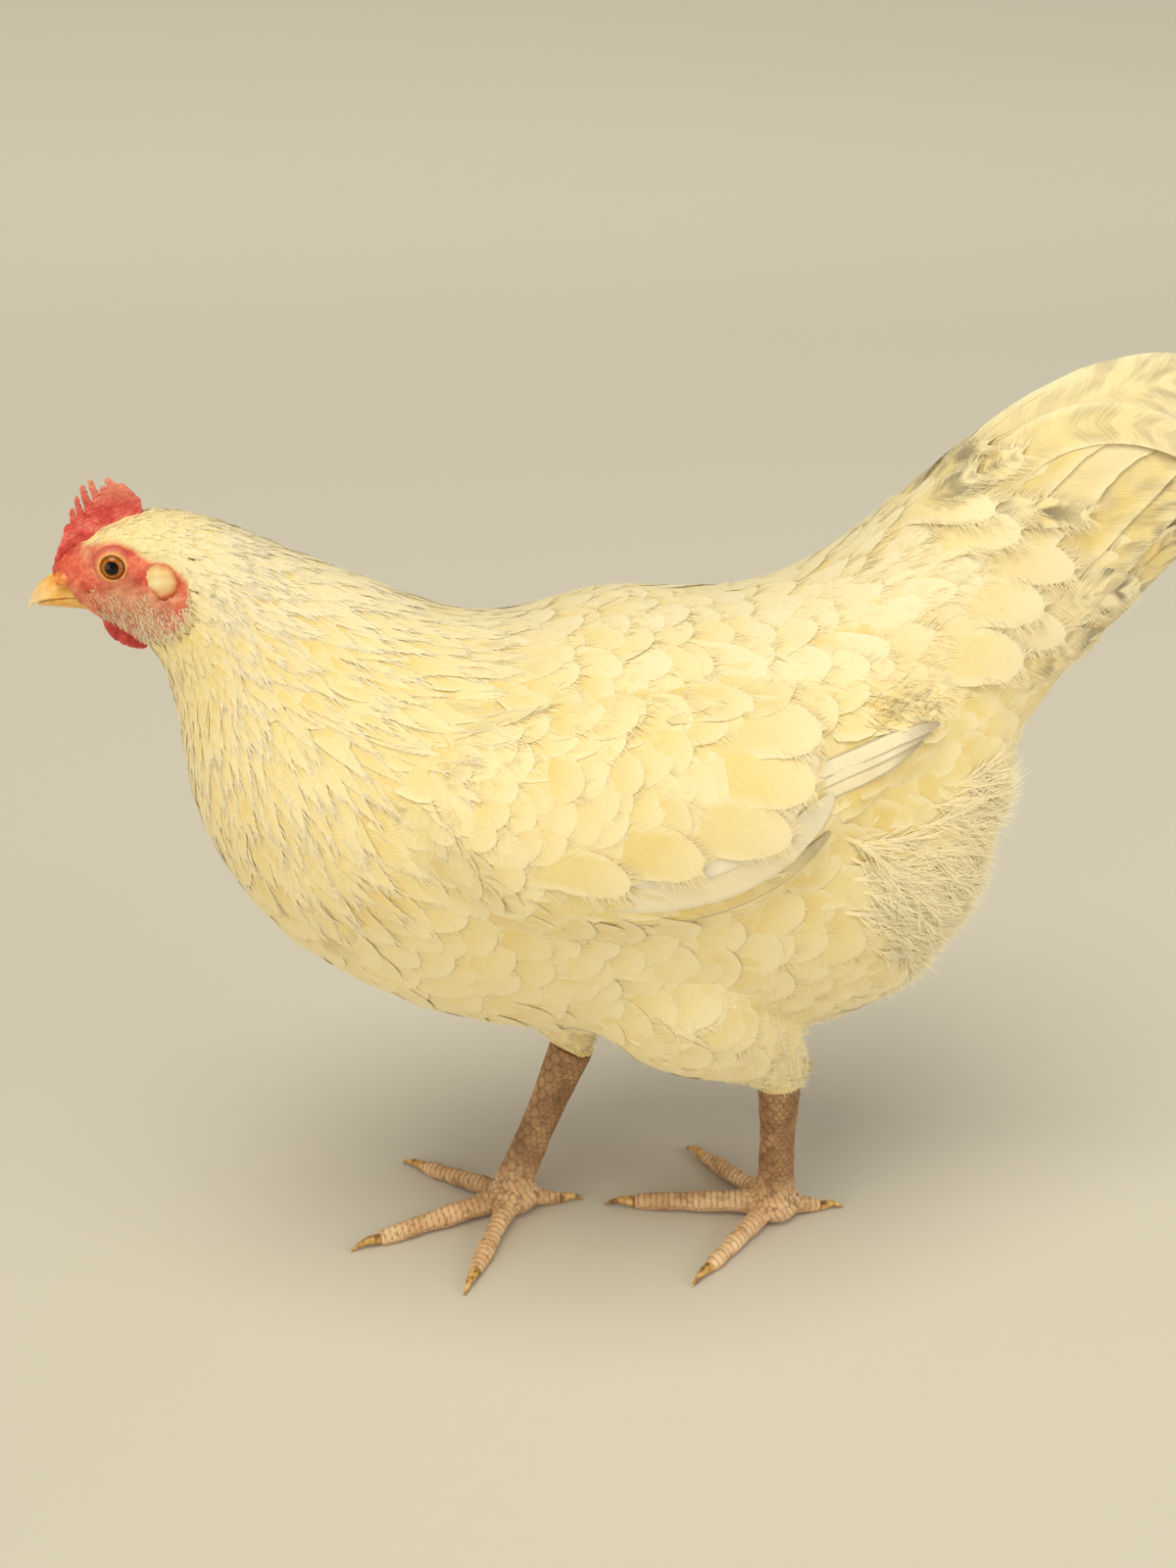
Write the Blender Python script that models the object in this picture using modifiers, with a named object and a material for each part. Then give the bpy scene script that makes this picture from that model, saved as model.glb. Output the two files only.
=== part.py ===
"""A life-size hen, standing in mid stride with its neck stretched forward and its tail carried high.

Metres, +Z up. The hen faces -X, its left side is towards -Y and its feet stand on Z = 0.
The plumage is one lofted form, parted into head, neck, trunk and tail by thin cuts.
Wings lie on it, legs are let into it, and the bare parts of the face are set into the head.
"""

import math

import bmesh
import bpy
from mathutils import Matrix, Vector

MM = 0.001
GAP = 0.0003  # clearance between pieces that touch
UP = Vector((0, 0, 1))
LEFT, RIGHT = -1, 1  # the side of the bird, as the sign of Y
SIDES = {"left": LEFT, "right": RIGHT}

# ---------------------------------------------------------------- plumage form
# Each station is a cross-section of the feathered outline, from the beak to the tail's end, in mm:
# the point on the back line (x, z), the point on the under line (x, z), half the width, how much
# wider the section is above its middle (+) or below it (-), and how far its under side is hollowed,
# as a share of half its height.
STATIONS = {
    "beak_root": ((-217, 310), (-206, 294.5), 6.5, 0.05, 0.0),
    "lores": ((-212, 315.5), (-203, 291.5), 10.0, 0.05, 0.0),
    "eyes": ((-202, 322.5), (-197, 288), 14.5, 0.0, 0.0),
    "cheeks": ((-192, 327.5), (-191.5, 283), 17.0, -0.05, 0.0),
    "crown": ((-181, 329.8), (-185.5, 278), 19.0, -0.05, 0.0),
    "nape": ((-161, 325.2), (-181.5, 264), 22.0, 0.0, 0.0),
    "upper_neck": ((-134, 311.5), (-179.5, 245), 28.0, -0.05, 0.0),
    "mid_neck": ((-107, 299), (-178, 221), 38.0, -0.05, 0.0),
    "neck_base": ((-79, 285.5), (-169, 193), 52.0, 0.0, 0.0),
    "breast": ((-48, 281), (-146, 160), 67.0, 0.05, 0.0),
    "shoulders": ((-12, 288.5), (-100, 126), 76.0, 0.08, 0.0),
    "middle": ((30, 284.5), (-35, 106), 79.0, 0.08, 0.0),
    "saddle": ((64, 292), (40, 97), 75.0, 0.04, 0.0),
    "vent": ((92, 311), (97, 104), 66.0, -0.02, 0.0),
    "rump": ((114, 329), (133, 151), 50.0, -0.12, 0.0),
    "tail_root": ((134, 344), (143, 208), 36.0, -0.25, 0.1),
    "tail_third": ((164, 360), (178, 251), 30.0, -0.4, 0.25),
    "tail_half": ((202, 367), (217, 293), 25.0, -0.5, 0.35),
    "tail_far": ((236, 362), (245, 324), 17.0, -0.5, 0.35),
    "tail_end": ((259, 350), (262, 337), 7.0, -0.4, 0.2),
}
RING_POINTS = 26
RINGS_BETWEEN = 2
BEAK_POINTS, BEAK_STEPS = 12, 2

# Where the plumage is parted: the place along the stations, as a station name and a share of the
# way to the next one.
NECK_CUT = ("nape", 0.0)
TRUNK_CUT = ("neck_base", 0.35)
TAIL_CUT = ("rump", 0.5)

# ---------------------------------------------------------------- face
EYE_RADIUS = 6.0 * MM
EYE_CENTRE = Vector((-195.4, 10.4, 312.6)) * MM
LOBE_CENTRE = Vector((-179.0, 16.6, 306.5)) * MM
LOBE_HALF = Vector((5.6, 3.6, 7.4)) * MM
LOBE_LEAN = math.radians(-28)
WATTLE_CENTRE = Vector((-194.0, 6.0, 287.6)) * MM
WATTLE_HALF = Vector((9.5, 2.0, 5.2)) * MM
WATTLE_LEAN = math.radians(38)

# The two halves of the beak: x, top and bottom z and half the width, from the root to the tip, in mm.
BEAK_UPPER = (
    (-204, 308.0, 300.7, 7.2),
    (-211, 310.2, 300.9, 6.9),
    (-217, 308.6, 300.6, 5.9),
    (-221.3, 306.0, 299.8, 4.5),
    (-224.6, 302.2, 298.2, 2.7),
    (-226.8, 297.4, 296.0, 0.9),
)
BEAK_LOWER = (
    (-202, 300.2, 293.5, 6.6),
    (-209, 300.4, 295.2, 5.8),
    (-215, 300.2, 296.2, 4.7),
    (-220, 299.4, 296.8, 3.0),
    (-223.2, 298.1, 297.0, 1.1),
)

# The comb is an upright blade on the crown, cut into fingers. Each row is a finger's tip and the
# notch behind it, as places along the base from its front and heights above it, in mm.
COMB_FRONT = Vector((-215.4, 311.2)) * MM
COMB_BACK = Vector((-185.6, 328.6)) * MM
COMB_FINGERS = (
    ((11.2, 9.0), (13.0, 7.4)),
    ((15.8, 12.4), (15.8, 6.4)),
    ((20.1, 15.4), (20.5, 7.4)),
    ((23.9, 17.5), (24.2, 9.6)),
    ((27.3, 17.1), (27.8, 11.0)),
    ((30.0, 12.9), (31.4, 11.3)),
)
COMB_BLADE = ((31.6, 15.4), (34.4, 12.2), (36.6, 3.4))  # the broad lobe behind the fingers
COMB_HALF_THICKNESS = (2.4 * MM, 0.8 * MM)  # at the base and at the highest tip
COMB_TIP = 0.75  # half the width of a finger's tip, in mm

# ---------------------------------------------------------------- wing
# The folded wing, seen from the side: its upper and lower edges at stations from shoulder to tip,
# as (x, upper z, lower z) in mm.
WING_EDGES = (
    (-97, 240, 224),
    (-84, 257, 204),
    (-54, 264, 187),
    (-12, 265, 184),
    (26, 264, 197),
    (52, 261, 221),
    (74, 258, 238),
    (94, 253, 247),
)
WING_ALONG, WING_ACROSS = 14, 7
WING_THICKNESS = 8.0 * MM
WING_SUNK = 1.5 * MM  # how far the sheet lies below the flank before it is trimmed
WING_EDGE_SHARE = 0.35  # the thickness at the wing's rim, as a share of the middle's

# ---------------------------------------------------------------- legs
# Joints of each leg, in mm: knee and heel of the drumstick, ankle of the foot. Y is towards the
# outside of the bird, whichever its side.
LEGS = {
    "left": {"knee": (-10, 38, 148), "heel": (51, 25, 87), "ankle": (55, 16, 13), "turn": 18},
    "right": {"knee": (-66, 36, 156), "heel": (-25, 20, 87), "ankle": (-57, 15, 13), "turn": 11},
}
DRUMSTICK_RADII = (12, 24, 33, 35, 32, 26, 19, 14.5, 11.5)
FEATHER_END = 0.13  # where the feathers stop, as a share of the shank below the heel
SHANK_RADII = (9.6, 9.4, 8.4, 7.6, 7.4, 7.8, 8.8)
PAD_RADII = Vector((12.0, 11.0, 8.0)) * MM

# A toe: its heading from straight ahead, outwards positive, its length to the claw, the radii at its
# root and end, and the number of its joints. The hind toe points back.
TOES = {
    "inner": (-49, 48, 4.9, 3.3, 2),
    "middle": (0, 62, 5.4, 3.5, 3),
    "outer": (56, 49, 4.7, 3.2, 4),
    "hind": (-166, 21, 4.2, 3.0, 1),
}
TOE_SEGMENTS = 9
CLAW_LENGTH = 12.5 * MM
CLAW_RADIUS = 2.5 * MM
CLAW_TIP_RADIUS = 0.55 * MM
CLAW_STEPS = 4

MATERIALS = {  # colour, roughness
    "plumage": ((0.84, 0.74, 0.47), 0.75),
    "tail_feather": ((0.80, 0.74, 0.58), 0.7),
    "comb_flesh": ((0.62, 0.07, 0.06), 0.5),
    "lobe_flesh": ((0.80, 0.60, 0.40), 0.55),
    "beak_horn": ((0.76, 0.50, 0.14), 0.35),
    "leg_scale": ((0.45, 0.32, 0.19), 0.5),
    "claw_horn": ((0.60, 0.43, 0.20), 0.4),
    "eye": ((0.70, 0.30, 0.05), 0.08),
}


# ---------------------------------------------------------------- helpers
def clear_scene():
    for obj in list(bpy.data.objects):
        bpy.data.objects.remove(obj, do_unlink=True)


def new_collection(name, helper=False):
    collection = bpy.data.collections.new(name)
    bpy.context.scene.collection.children.link(collection)
    collection.hide_render = helper
    return collection


def material(name):
    found = bpy.data.materials.get(name)
    if found:
        return found
    colour, roughness = MATERIALS[name]
    made = bpy.data.materials.new(name)
    made.use_nodes = True
    shader = made.node_tree.nodes["Principled BSDF"]
    shader.inputs["Base Color"].default_value = (*colour, 1)
    shader.inputs["Roughness"].default_value = roughness
    made.diffuse_color = (*colour, 1)
    return made


def add_object(name, bm, finish=None):
    """A new object from a bmesh, as a piece of the hen, or as a cutter where it has no finish."""
    bmesh.ops.recalc_face_normals(bm, faces=bm.faces[:])
    mesh = bpy.data.meshes.new(name)
    bm.to_mesh(mesh)
    bm.free()
    mesh.shade_smooth()
    obj = bpy.data.objects.new(name, mesh)
    if finish:
        PIECES.objects.link(obj)
        mesh.materials.append(material(finish))
    else:
        CUTTERS.objects.link(obj)
        obj.hide_render = True
        obj.display_type = "WIRE"
    return obj


def boolean(obj, operation, other):
    modifier = obj.modifiers.new(f"{operation.lower()}_{other.name}", "BOOLEAN")
    modifier.operation = operation
    modifier.solver = "EXACT"
    modifier.object = other


def keep_side(bm, point, normal):
    """Cuts the shape by a plane and keeps what lies behind it, closed by a flat face."""
    cut = bmesh.ops.bisect_plane(
        bm,
        geom=bm.verts[:] + bm.edges[:] + bm.faces[:],
        plane_co=point,
        plane_no=normal,
        clear_outer=True,
    )
    rim = [item for item in cut["geom_cut"] if isinstance(item, bmesh.types.BMEdge)]
    bmesh.ops.holes_fill(bm, edges=rim)
    bmesh.ops.recalc_face_normals(bm, faces=bm.faces[:])


def smooth_between(values, index, share):
    """Catmull-Rom interpolation of a list of numbers or vectors."""
    last = len(values) - 1
    before, here = values[max(index - 1, 0)], values[index]
    after, beyond = values[min(index + 1, last)], values[min(index + 2, last)]
    pull_here, pull_after = (after - before) * 0.5, (beyond - here) * 0.5
    t, t2, t3 = share, share**2, share**3
    return (
        here * (2 * t3 - 3 * t2 + 1)
        + pull_here * (t3 - 2 * t2 + t)
        + after * (3 * t2 - 2 * t3)
        + pull_after * (t3 - t2)
    )


def loft(rings, caps=True):
    """A closed form through rings that all have the same number of points."""
    bm = bmesh.new()
    rows = [[bm.verts.new(point) for point in ring] for ring in rings]
    count = len(rows[0])
    for row, following in zip(rows, rows[1:]):
        for i in range(count):
            j = (i + 1) % count
            bm.faces.new((row[i], row[j], following[j], following[i]))
    if caps:
        bm.faces.new(rows[0])
        bm.faces.new(rows[-1])
    return bm


def tube(centres, radii, points, flatten=1.0):
    """A closed tube through centres, round or flattened from above, and straight at each end."""
    rings = []
    for i, (centre, radius) in enumerate(zip(centres, radii)):
        ahead = centres[min(i + 1, len(centres) - 1)] - centres[max(i - 1, 0)]
        turn = ahead.to_track_quat("Z", "Y").to_matrix()
        rings.append(
            [
                centre
                + turn
                @ Vector((radius * math.cos(angle), radius * flatten * math.sin(angle), 0))
                for angle in (2 * math.pi * k / points for k in range(points))
            ]
        )
    return loft(rings)


def ellipsoid(centre, half_sizes, turn=None, segments=14, rows=8):
    bm = bmesh.new()
    bmesh.ops.create_uvsphere(bm, u_segments=segments, v_segments=rows, radius=1)
    place = Matrix.Translation(centre) @ (turn or Matrix.Identity(4)) @ Matrix.Diagonal(
        (*half_sizes, 1)
    )
    bmesh.ops.transform(bm, matrix=place, verts=bm.verts)
    return bm


def on_side(point, side):
    """A point given for the right side, in metres, set on either side."""
    return Vector((point[0], point[1] * side, point[2]))


# ---------------------------------------------------------------- plumage
STATION_NAMES = list(STATIONS)
BACK_LINE = [Vector((s[0][0], 0, s[0][1])) * MM for s in STATIONS.values()]
UNDER_LINE = [Vector((s[1][0], 0, s[1][1])) * MM for s in STATIONS.values()]
HALF_WIDTHS = [s[2] * MM for s in STATIONS.values()]
WIDTH_BIAS = [s[3] for s in STATIONS.values()]
HOLLOWS = [s[4] for s in STATIONS.values()]


def section(index, share, grow=0.0):
    """The ring of the plumage at a share of the way from one station to the next."""
    back = smooth_between(BACK_LINE, index, share)
    under = smooth_between(UNDER_LINE, index, share)
    half_width = smooth_between(HALF_WIDTHS, index, share) + grow
    bias = smooth_between(WIDTH_BIAS, index, share)
    hollow = smooth_between(HOLLOWS, index, share)
    middle, axis = (back + under) / 2, (back - under).normalized()
    half_height = (back - under).length / 2 + grow
    ring = []
    for k in range(RING_POINTS):
        angle = 2 * math.pi * k / RING_POINTS
        across = half_width * math.sin(angle) * (1 + bias * math.cos(angle))
        upward = math.cos(angle) + hollow * max(0, -math.cos(angle)) ** 4
        ring.append(middle + axis * half_height * upward + Vector((0, across, 0)))
    return ring


def plumage_form(grow=0.0):
    rings = []
    for index in range(len(STATIONS) - 1):
        rings += [section(index, k / RINGS_BETWEEN, grow) for k in range(RINGS_BETWEEN)]
    rings.append(section(len(STATIONS) - 2, 1.0, grow))
    return loft(rings)


def cut_plane(place):
    """The point and the rearward normal of a plane of the plumage."""
    index, share = STATION_NAMES.index(place[0]), place[1]
    back = smooth_between(BACK_LINE, index, share)
    under = smooth_between(UNDER_LINE, index, share)
    normal = (back - under).cross(Vector((0, 1, 0))).normalized()
    return (back + under) / 2, normal if normal.x > 0 else -normal


def plumage_piece(name, front_cut, rear_cut, finish):
    """The plumage between two planes, each set back by half the gap."""
    bm = plumage_form()
    if rear_cut:
        point, normal = cut_plane(rear_cut)
        keep_side(bm, point - normal * GAP / 2, normal)
    if front_cut:
        point, normal = cut_plane(front_cut)
        keep_side(bm, point + normal * GAP / 2, -normal)
    return add_object(name, bm, finish)


# ---------------------------------------------------------------- face
def set_into(host, name, finish, shape):
    """A piece let into its host. shape(grow) makes it, and the grown one cuts its seat."""
    piece = add_object(name, shape(0.0), finish)
    boolean(host, "DIFFERENCE", add_object(f"{name}_seat", shape(GAP)))
    return piece


def make_eye(head, label, side):
    centre = on_side(EYE_CENTRE, side)
    set_into(
        head,
        f"eye_{label}",
        "eye",
        lambda grow: ellipsoid(centre, (EYE_RADIUS + grow,) * 3),
    )


def make_lobe(head, label, side):
    """The pale ear lobe, an oval cushion behind and below the eye."""
    centre, turn = on_side(LOBE_CENTRE, side), Matrix.Rotation(LOBE_LEAN, 4, "Y")
    set_into(
        head,
        f"ear_lobe_{label}",
        "lobe_flesh",
        lambda grow: ellipsoid(centre, LOBE_HALF + Vector((grow,) * 3), turn),
    )


def make_wattle(head, label, side):
    """The wattle, a thin flap of bare skin that hangs from the lower beak."""
    centre, turn = on_side(WATTLE_CENTRE, side), Matrix.Rotation(WATTLE_LEAN, 4, "Y")
    set_into(
        head,
        f"wattle_{label}",
        "comb_flesh",
        lambda grow: ellipsoid(centre, WATTLE_HALF + Vector((grow,) * 3), turn),
    )


def beak_form(stations, upward, grow):
    """Half a beak, flat along the mouth and rounded away from it."""
    values = [Vector(station) for station in stations]
    rings = []
    for i in range(BEAK_STEPS * (len(values) - 1) + 1):
        index = min(i // BEAK_STEPS, len(values) - 2)
        x, top, bottom, half_width = smooth_between(values, index, i / BEAK_STEPS - index)
        mouth, far = (bottom, top) if upward else (top, bottom)
        ring = []
        for k in range(BEAK_POINTS):
            angle = 2 * math.pi * k / BEAK_POINTS
            height = mouth + (far - mouth) * max(0, math.sin(angle)) ** 0.9
            outward = Vector((0, math.cos(angle), math.sin(angle) * (1 if upward else -1)))
            ring.append(Vector((x, half_width * math.cos(angle), height)) * MM + outward * grow)
        rings.append(ring)
    if grow:  # the seat reaches past the root
        rings.insert(0, [point + Vector((grow, 0, 0)) for point in rings[0]])
    return loft(rings)


def make_beak(head):
    """Two halves that meet along the mouth, each let into the head."""
    set_into(head, "beak_upper", "beak_horn", lambda grow: beak_form(BEAK_UPPER, True, grow))
    set_into(head, "beak_lower", "beak_horn", lambda grow: beak_form(BEAK_LOWER, False, grow))


def comb_outline():
    """The comb's outline as (place along the base, height) in mm, from the front to the back."""
    outline = [(-1.0, -4.0), (-0.6, 0.8), (4.5, 3.4)]
    for (tip, height), notch in COMB_FINGERS:
        outline += [(tip - COMB_TIP, height - 0.9), (tip, height), (tip + COMB_TIP, height - 0.8)]
        outline.append(notch)
    return outline + [*COMB_BLADE, ((COMB_BACK - COMB_FRONT).length / MM, -1.0), (26.0, -4.0)]


def make_comb():
    along = (COMB_BACK - COMB_FRONT).normalized()
    outline = comb_outline()
    highest = max(height for _, height in outline)
    bm = bmesh.new()
    corners = []
    for place, height in outline:
        flat = COMB_FRONT + (along * place + Vector((-along.y, along.x)) * height) * MM
        corners.append(bm.verts.new((flat.x, 0, flat.y)))
    face = bm.faces.new(corners)
    bmesh.ops.triangulate(bm, faces=[face])
    other_side = bmesh.ops.extrude_face_region(bm, geom=bm.faces[:])["geom"]
    near = {item for item in other_side if isinstance(item, bmesh.types.BMVert)}
    for vertex in bm.verts:
        flat = Vector((vertex.co.x, vertex.co.z)) - COMB_FRONT
        share = max(0, (along.x * flat.y - along.y * flat.x) / MM / highest)
        thick, thin = COMB_HALF_THICKNESS
        half = thick + (thin - thick) * min(1, share)
        vertex.co.y = half if vertex in near else -half
    comb = add_object("comb", bm, "comb_flesh")
    boolean(comb, "DIFFERENCE", add_object("comb_seat", plumage_form(GAP)))
    boolean(comb, "DIFFERENCE", bpy.data.objects["beak_upper_seat"])
    return comb


# ---------------------------------------------------------------- wings
def edge_at(column, share):
    """One column of WING_EDGES, smoothly between its stations."""
    values = [Vector((edge[0], edge[column])) for edge in WING_EDGES]
    place = share * (len(values) - 1)
    index = min(int(place), len(values) - 2)
    return smooth_between(values, index, place - index)


def make_wing(label, side, flank):
    """A sheet cut to the wing's outline, laid on the flank, thickened outwards and trimmed by it."""
    bm = bmesh.new()
    bmesh.ops.create_grid(
        bm, x_segments=WING_ALONG, y_segments=WING_ACROSS, size=1
    )
    rim = {}
    for vertex in bm.verts:
        along, across = (vertex.co.x + 1) / 2, (vertex.co.y + 1) / 2
        upper, lower = edge_at(1, along), edge_at(2, along)
        place = lower.lerp(upper, across)
        vertex.co = Vector((place.x * MM, side * 0.2, place.y * MM))
        bulge = math.sin(math.pi * across) * math.sin(math.pi * min(1, along * 1.35 + 0.04))
        rim[vertex.index] = WING_EDGE_SHARE + (1 - WING_EDGE_SHARE) * max(0, bulge) ** 0.6
    wing = add_object(f"wing_{label}", bm, "plumage")
    group = wing.vertex_groups.new(name="thickness")
    for index, share in rim.items():
        group.add([index], share, "REPLACE")
    wrap = wing.modifiers.new("lie_on_flank", "SHRINKWRAP")
    wrap.target = flank
    wrap.wrap_method = "PROJECT"
    wrap.use_project_y = True
    wrap.use_negative_direction = side > 0
    wrap.use_positive_direction = side < 0
    wrap.offset = WING_SUNK
    solid = wing.modifiers.new("thickness", "SOLIDIFY")
    solid.thickness = WING_THICKNESS + WING_SUNK
    solid.offset = 1.0
    solid.vertex_group = "thickness"
    boolean(wing, "DIFFERENCE", flank)
    return wing


# ---------------------------------------------------------------- legs
def leg_joint(label, joint):
    return on_side(Vector(LEGS[label][joint]) * MM, SIDES[label])


def drumstick_form(label, grow=0.0):
    """The feathered thigh and drumstick, rounded where it turns into the shank at the heel."""
    knee, heel, ankle = (leg_joint(label, joint) for joint in ("knee", "heel", "ankle"))
    end = heel.lerp(ankle, FEATHER_END + 0.02)
    turn = heel * 0.5 + (knee.lerp(heel, 0.8) + end) * 0.25
    shares = (-0.3, -0.2, 0, 0.2, 0.4, 0.6, 0.8)
    centres = [knee.lerp(heel, share) for share in shares] + [turn, end]
    return tube(centres, [radius * MM + grow for radius in DRUMSTICK_RADII], 18)


def shank_form(label):
    heel, ankle = leg_joint(label, "heel"), leg_joint(label, "ankle")
    count = len(SHANK_RADII)
    centres = [heel.lerp(ankle, k / (count - 1)) for k in range(count)]
    return tube(centres, [radius * MM for radius in SHANK_RADII], 16)


def toe_line(label, toe):
    """The centre line of a toe, its radii and its heading. It comes down from the ball of the foot,
    and its end lies on the floor."""
    heading, length, root_radius, end_radius, joints = TOES[toe]
    side = SIDES[label]
    ankle = leg_joint(label, "ankle")
    angle = math.radians(heading - LEGS[label]["turn"])
    forward = Vector((-math.cos(angle), side * math.sin(angle), 0))
    centres, radii = [], []
    for k in range(TOE_SEGMENTS + 1):
        share = k / TOE_SEGMENTS
        radius = root_radius + (end_radius - root_radius) * share
        knuckle = 0.35 * math.cos(2 * math.pi * (joints * share + 0.5))
        radii.append((radius + knuckle) * MM)
        lift = 0.8 * math.sin(math.pi * share) + (1 - share) ** 2 * 3.0
        height = (radius * 0.86 + lift) * MM
        centres.append(
            Vector((ankle.x, ankle.y, 0)) + forward * length * MM * share + UP * height
        )
    return centres, radii, forward


def claw_form(label, toe):
    """A horn claw that starts square against the end of its toe and curves down to the floor."""
    centres, radii, forward = toe_line(label, toe)
    square = (centres[-1] - centres[-2]).normalized()
    start = centres[-1] + square * GAP
    root = min(CLAW_RADIUS, radii[-1] * 0.85)
    length = CLAW_LENGTH * (0.8 if toe == "hind" else 1.0)
    line, sizes = [start], [root]
    for k in range(CLAW_STEPS + 1):
        share = k / CLAW_STEPS
        rise = 0.9 * MM * math.sin(math.pi * share) - (start.z - CLAW_TIP_RADIUS) * share**2
        line.append(start + square * 0.6 * MM + forward * length * share + UP * rise)
        sizes.append(root + (CLAW_TIP_RADIUS - root) * share**1.2)
    return tube(line, sizes, 8)


def make_toes(label, pad_seat):
    """Four toes set against the ball of the foot, each clear of the one before it."""
    earlier = None
    for toe in TOES:
        centres, radii, _ = toe_line(label, toe)
        form = tube(centres, radii, 8)
        keep_side(form, Vector((0, 0, 0)), -UP)
        piece = add_object(f"toe_{label}_{toe}", form, "leg_scale")
        boolean(piece, "DIFFERENCE", pad_seat)
        if earlier:
            boolean(piece, "DIFFERENCE", earlier)
        grown = tube(centres, [radius + GAP for radius in radii], 8)
        earlier = add_object(f"toe_{label}_{toe}_seat", grown)
        claw = claw_form(label, toe)
        keep_side(claw, Vector((0, 0, 0)), -UP)
        add_object(f"claw_{label}_{toe}", claw, "claw_horn")


def make_leg(label, trunk):
    heel, ankle = leg_joint(label, "heel"), leg_joint(label, "ankle")
    down = (ankle - heel).normalized()
    feather_line = heel.lerp(ankle, FEATHER_END)
    foot_line = ankle + UP * 7.0 * MM

    drumstick = drumstick_form(label)
    keep_side(drumstick, feather_line - down * GAP / 2, down)
    add_object(f"drumstick_{label}", drumstick, "plumage")
    boolean(trunk, "DIFFERENCE", add_object(f"drumstick_{label}_seat", drumstick_form(label, GAP)))

    shank = shank_form(label)
    keep_side(shank, feather_line + down * GAP / 2, -down)
    keep_side(shank, foot_line - down * GAP / 2, down)
    add_object(f"shank_{label}", shank, "leg_scale")

    ball = ankle - UP * 5.6 * MM
    pad = ellipsoid(ball, PAD_RADII)
    keep_side(pad, Vector((0, 0, 0)), -UP)
    foot = add_object(f"foot_{label}", pad, "leg_scale")
    stump = shank_form(label)
    keep_side(stump, foot_line + down * GAP / 2, -down)
    boolean(foot, "UNION", add_object(f"foot_{label}_stump", stump))
    pad_seat = add_object(f"foot_{label}_seat", ellipsoid(ball, PAD_RADII + Vector((GAP,) * 3)))
    make_toes(label, pad_seat)


# ---------------------------------------------------------------- the hen
def stand_on_origin():
    """Moves the hen so that the middle of its footprint's box is at the origin."""
    bpy.context.view_layer.update()
    graph = bpy.context.evaluated_depsgraph_get()
    corners = [
        obj.matrix_world @ Vector(corner)
        for obj in PIECES.objects
        for corner in obj.evaluated_get(graph).bound_box
    ]
    low = Vector(min(corner[axis] for corner in corners) for axis in range(3))
    high = Vector(max(corner[axis] for corner in corners) for axis in range(3))
    root = bpy.data.objects.new("hen", None)
    bpy.context.scene.collection.objects.link(root)
    for obj in list(PIECES.objects) + list(CUTTERS.objects):
        obj.parent = root
    root.location = (-(low.x + high.x) / 2, -(low.y + high.y) / 2, -low.z)


clear_scene()
PIECES = new_collection("hen_pieces")
CUTTERS = new_collection("cutters", helper=True)

head = plumage_piece("head", None, NECK_CUT, "plumage")
neck = plumage_piece("neck", NECK_CUT, TRUNK_CUT, "plumage")
trunk = plumage_piece("trunk", TRUNK_CUT, TAIL_CUT, "plumage")
tail = plumage_piece("tail", TAIL_CUT, None, "tail_feather")
flank = add_object("flank_form", plumage_form(GAP))

make_beak(head)
make_comb()
for label, side in SIDES.items():
    make_eye(head, label, side)
    make_lobe(head, label, side)
    make_wattle(head, label, side)
    make_wing(label, side, flank)
    make_leg(label, trunk)
stand_on_origin()
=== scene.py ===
import math
from itertools import product

import bmesh
import bpy
import numpy as np
from mathutils import Matrix, Vector
from mathutils.bvhtree import BVHTree


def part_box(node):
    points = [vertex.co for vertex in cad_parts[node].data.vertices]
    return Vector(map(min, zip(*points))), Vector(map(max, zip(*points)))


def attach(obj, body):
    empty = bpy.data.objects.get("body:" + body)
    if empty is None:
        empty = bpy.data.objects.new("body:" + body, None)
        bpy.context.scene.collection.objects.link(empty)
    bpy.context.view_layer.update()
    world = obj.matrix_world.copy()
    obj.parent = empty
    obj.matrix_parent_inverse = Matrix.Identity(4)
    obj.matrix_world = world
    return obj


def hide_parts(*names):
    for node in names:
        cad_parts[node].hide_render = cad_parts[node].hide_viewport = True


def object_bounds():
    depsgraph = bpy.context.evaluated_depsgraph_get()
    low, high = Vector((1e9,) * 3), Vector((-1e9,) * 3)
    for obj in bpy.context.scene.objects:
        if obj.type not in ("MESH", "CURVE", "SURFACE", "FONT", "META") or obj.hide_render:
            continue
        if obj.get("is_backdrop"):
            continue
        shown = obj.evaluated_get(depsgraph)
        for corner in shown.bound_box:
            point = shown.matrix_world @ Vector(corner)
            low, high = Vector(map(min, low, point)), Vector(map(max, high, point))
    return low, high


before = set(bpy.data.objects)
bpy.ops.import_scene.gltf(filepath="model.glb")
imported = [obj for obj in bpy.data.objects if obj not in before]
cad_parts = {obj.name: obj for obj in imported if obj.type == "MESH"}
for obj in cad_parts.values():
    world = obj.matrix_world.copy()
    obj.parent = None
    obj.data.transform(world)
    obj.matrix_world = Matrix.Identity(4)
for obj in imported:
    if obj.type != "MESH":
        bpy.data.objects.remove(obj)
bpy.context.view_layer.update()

# ---------------------------------------------------------------- camera
# The camera stands at the hen's left, a little ahead of it and above its back,
# and looks down on it as a person does who crouches a step away.
# The hen's own zero lies between its legs, and every place below is from there.
MM = 0.001
ZERO_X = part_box("beak_upper")[0].x + 226.8 * MM
CAMERA_TURN = math.radians(13.0)
CAMERA_DIP = math.radians(23.3)


def place(x, y, z):
    """A point of the hen, in millimetres from its own zero, in the row frame."""
    return Vector((x * MM + ZERO_X, y * MM, z * MM))


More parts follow.
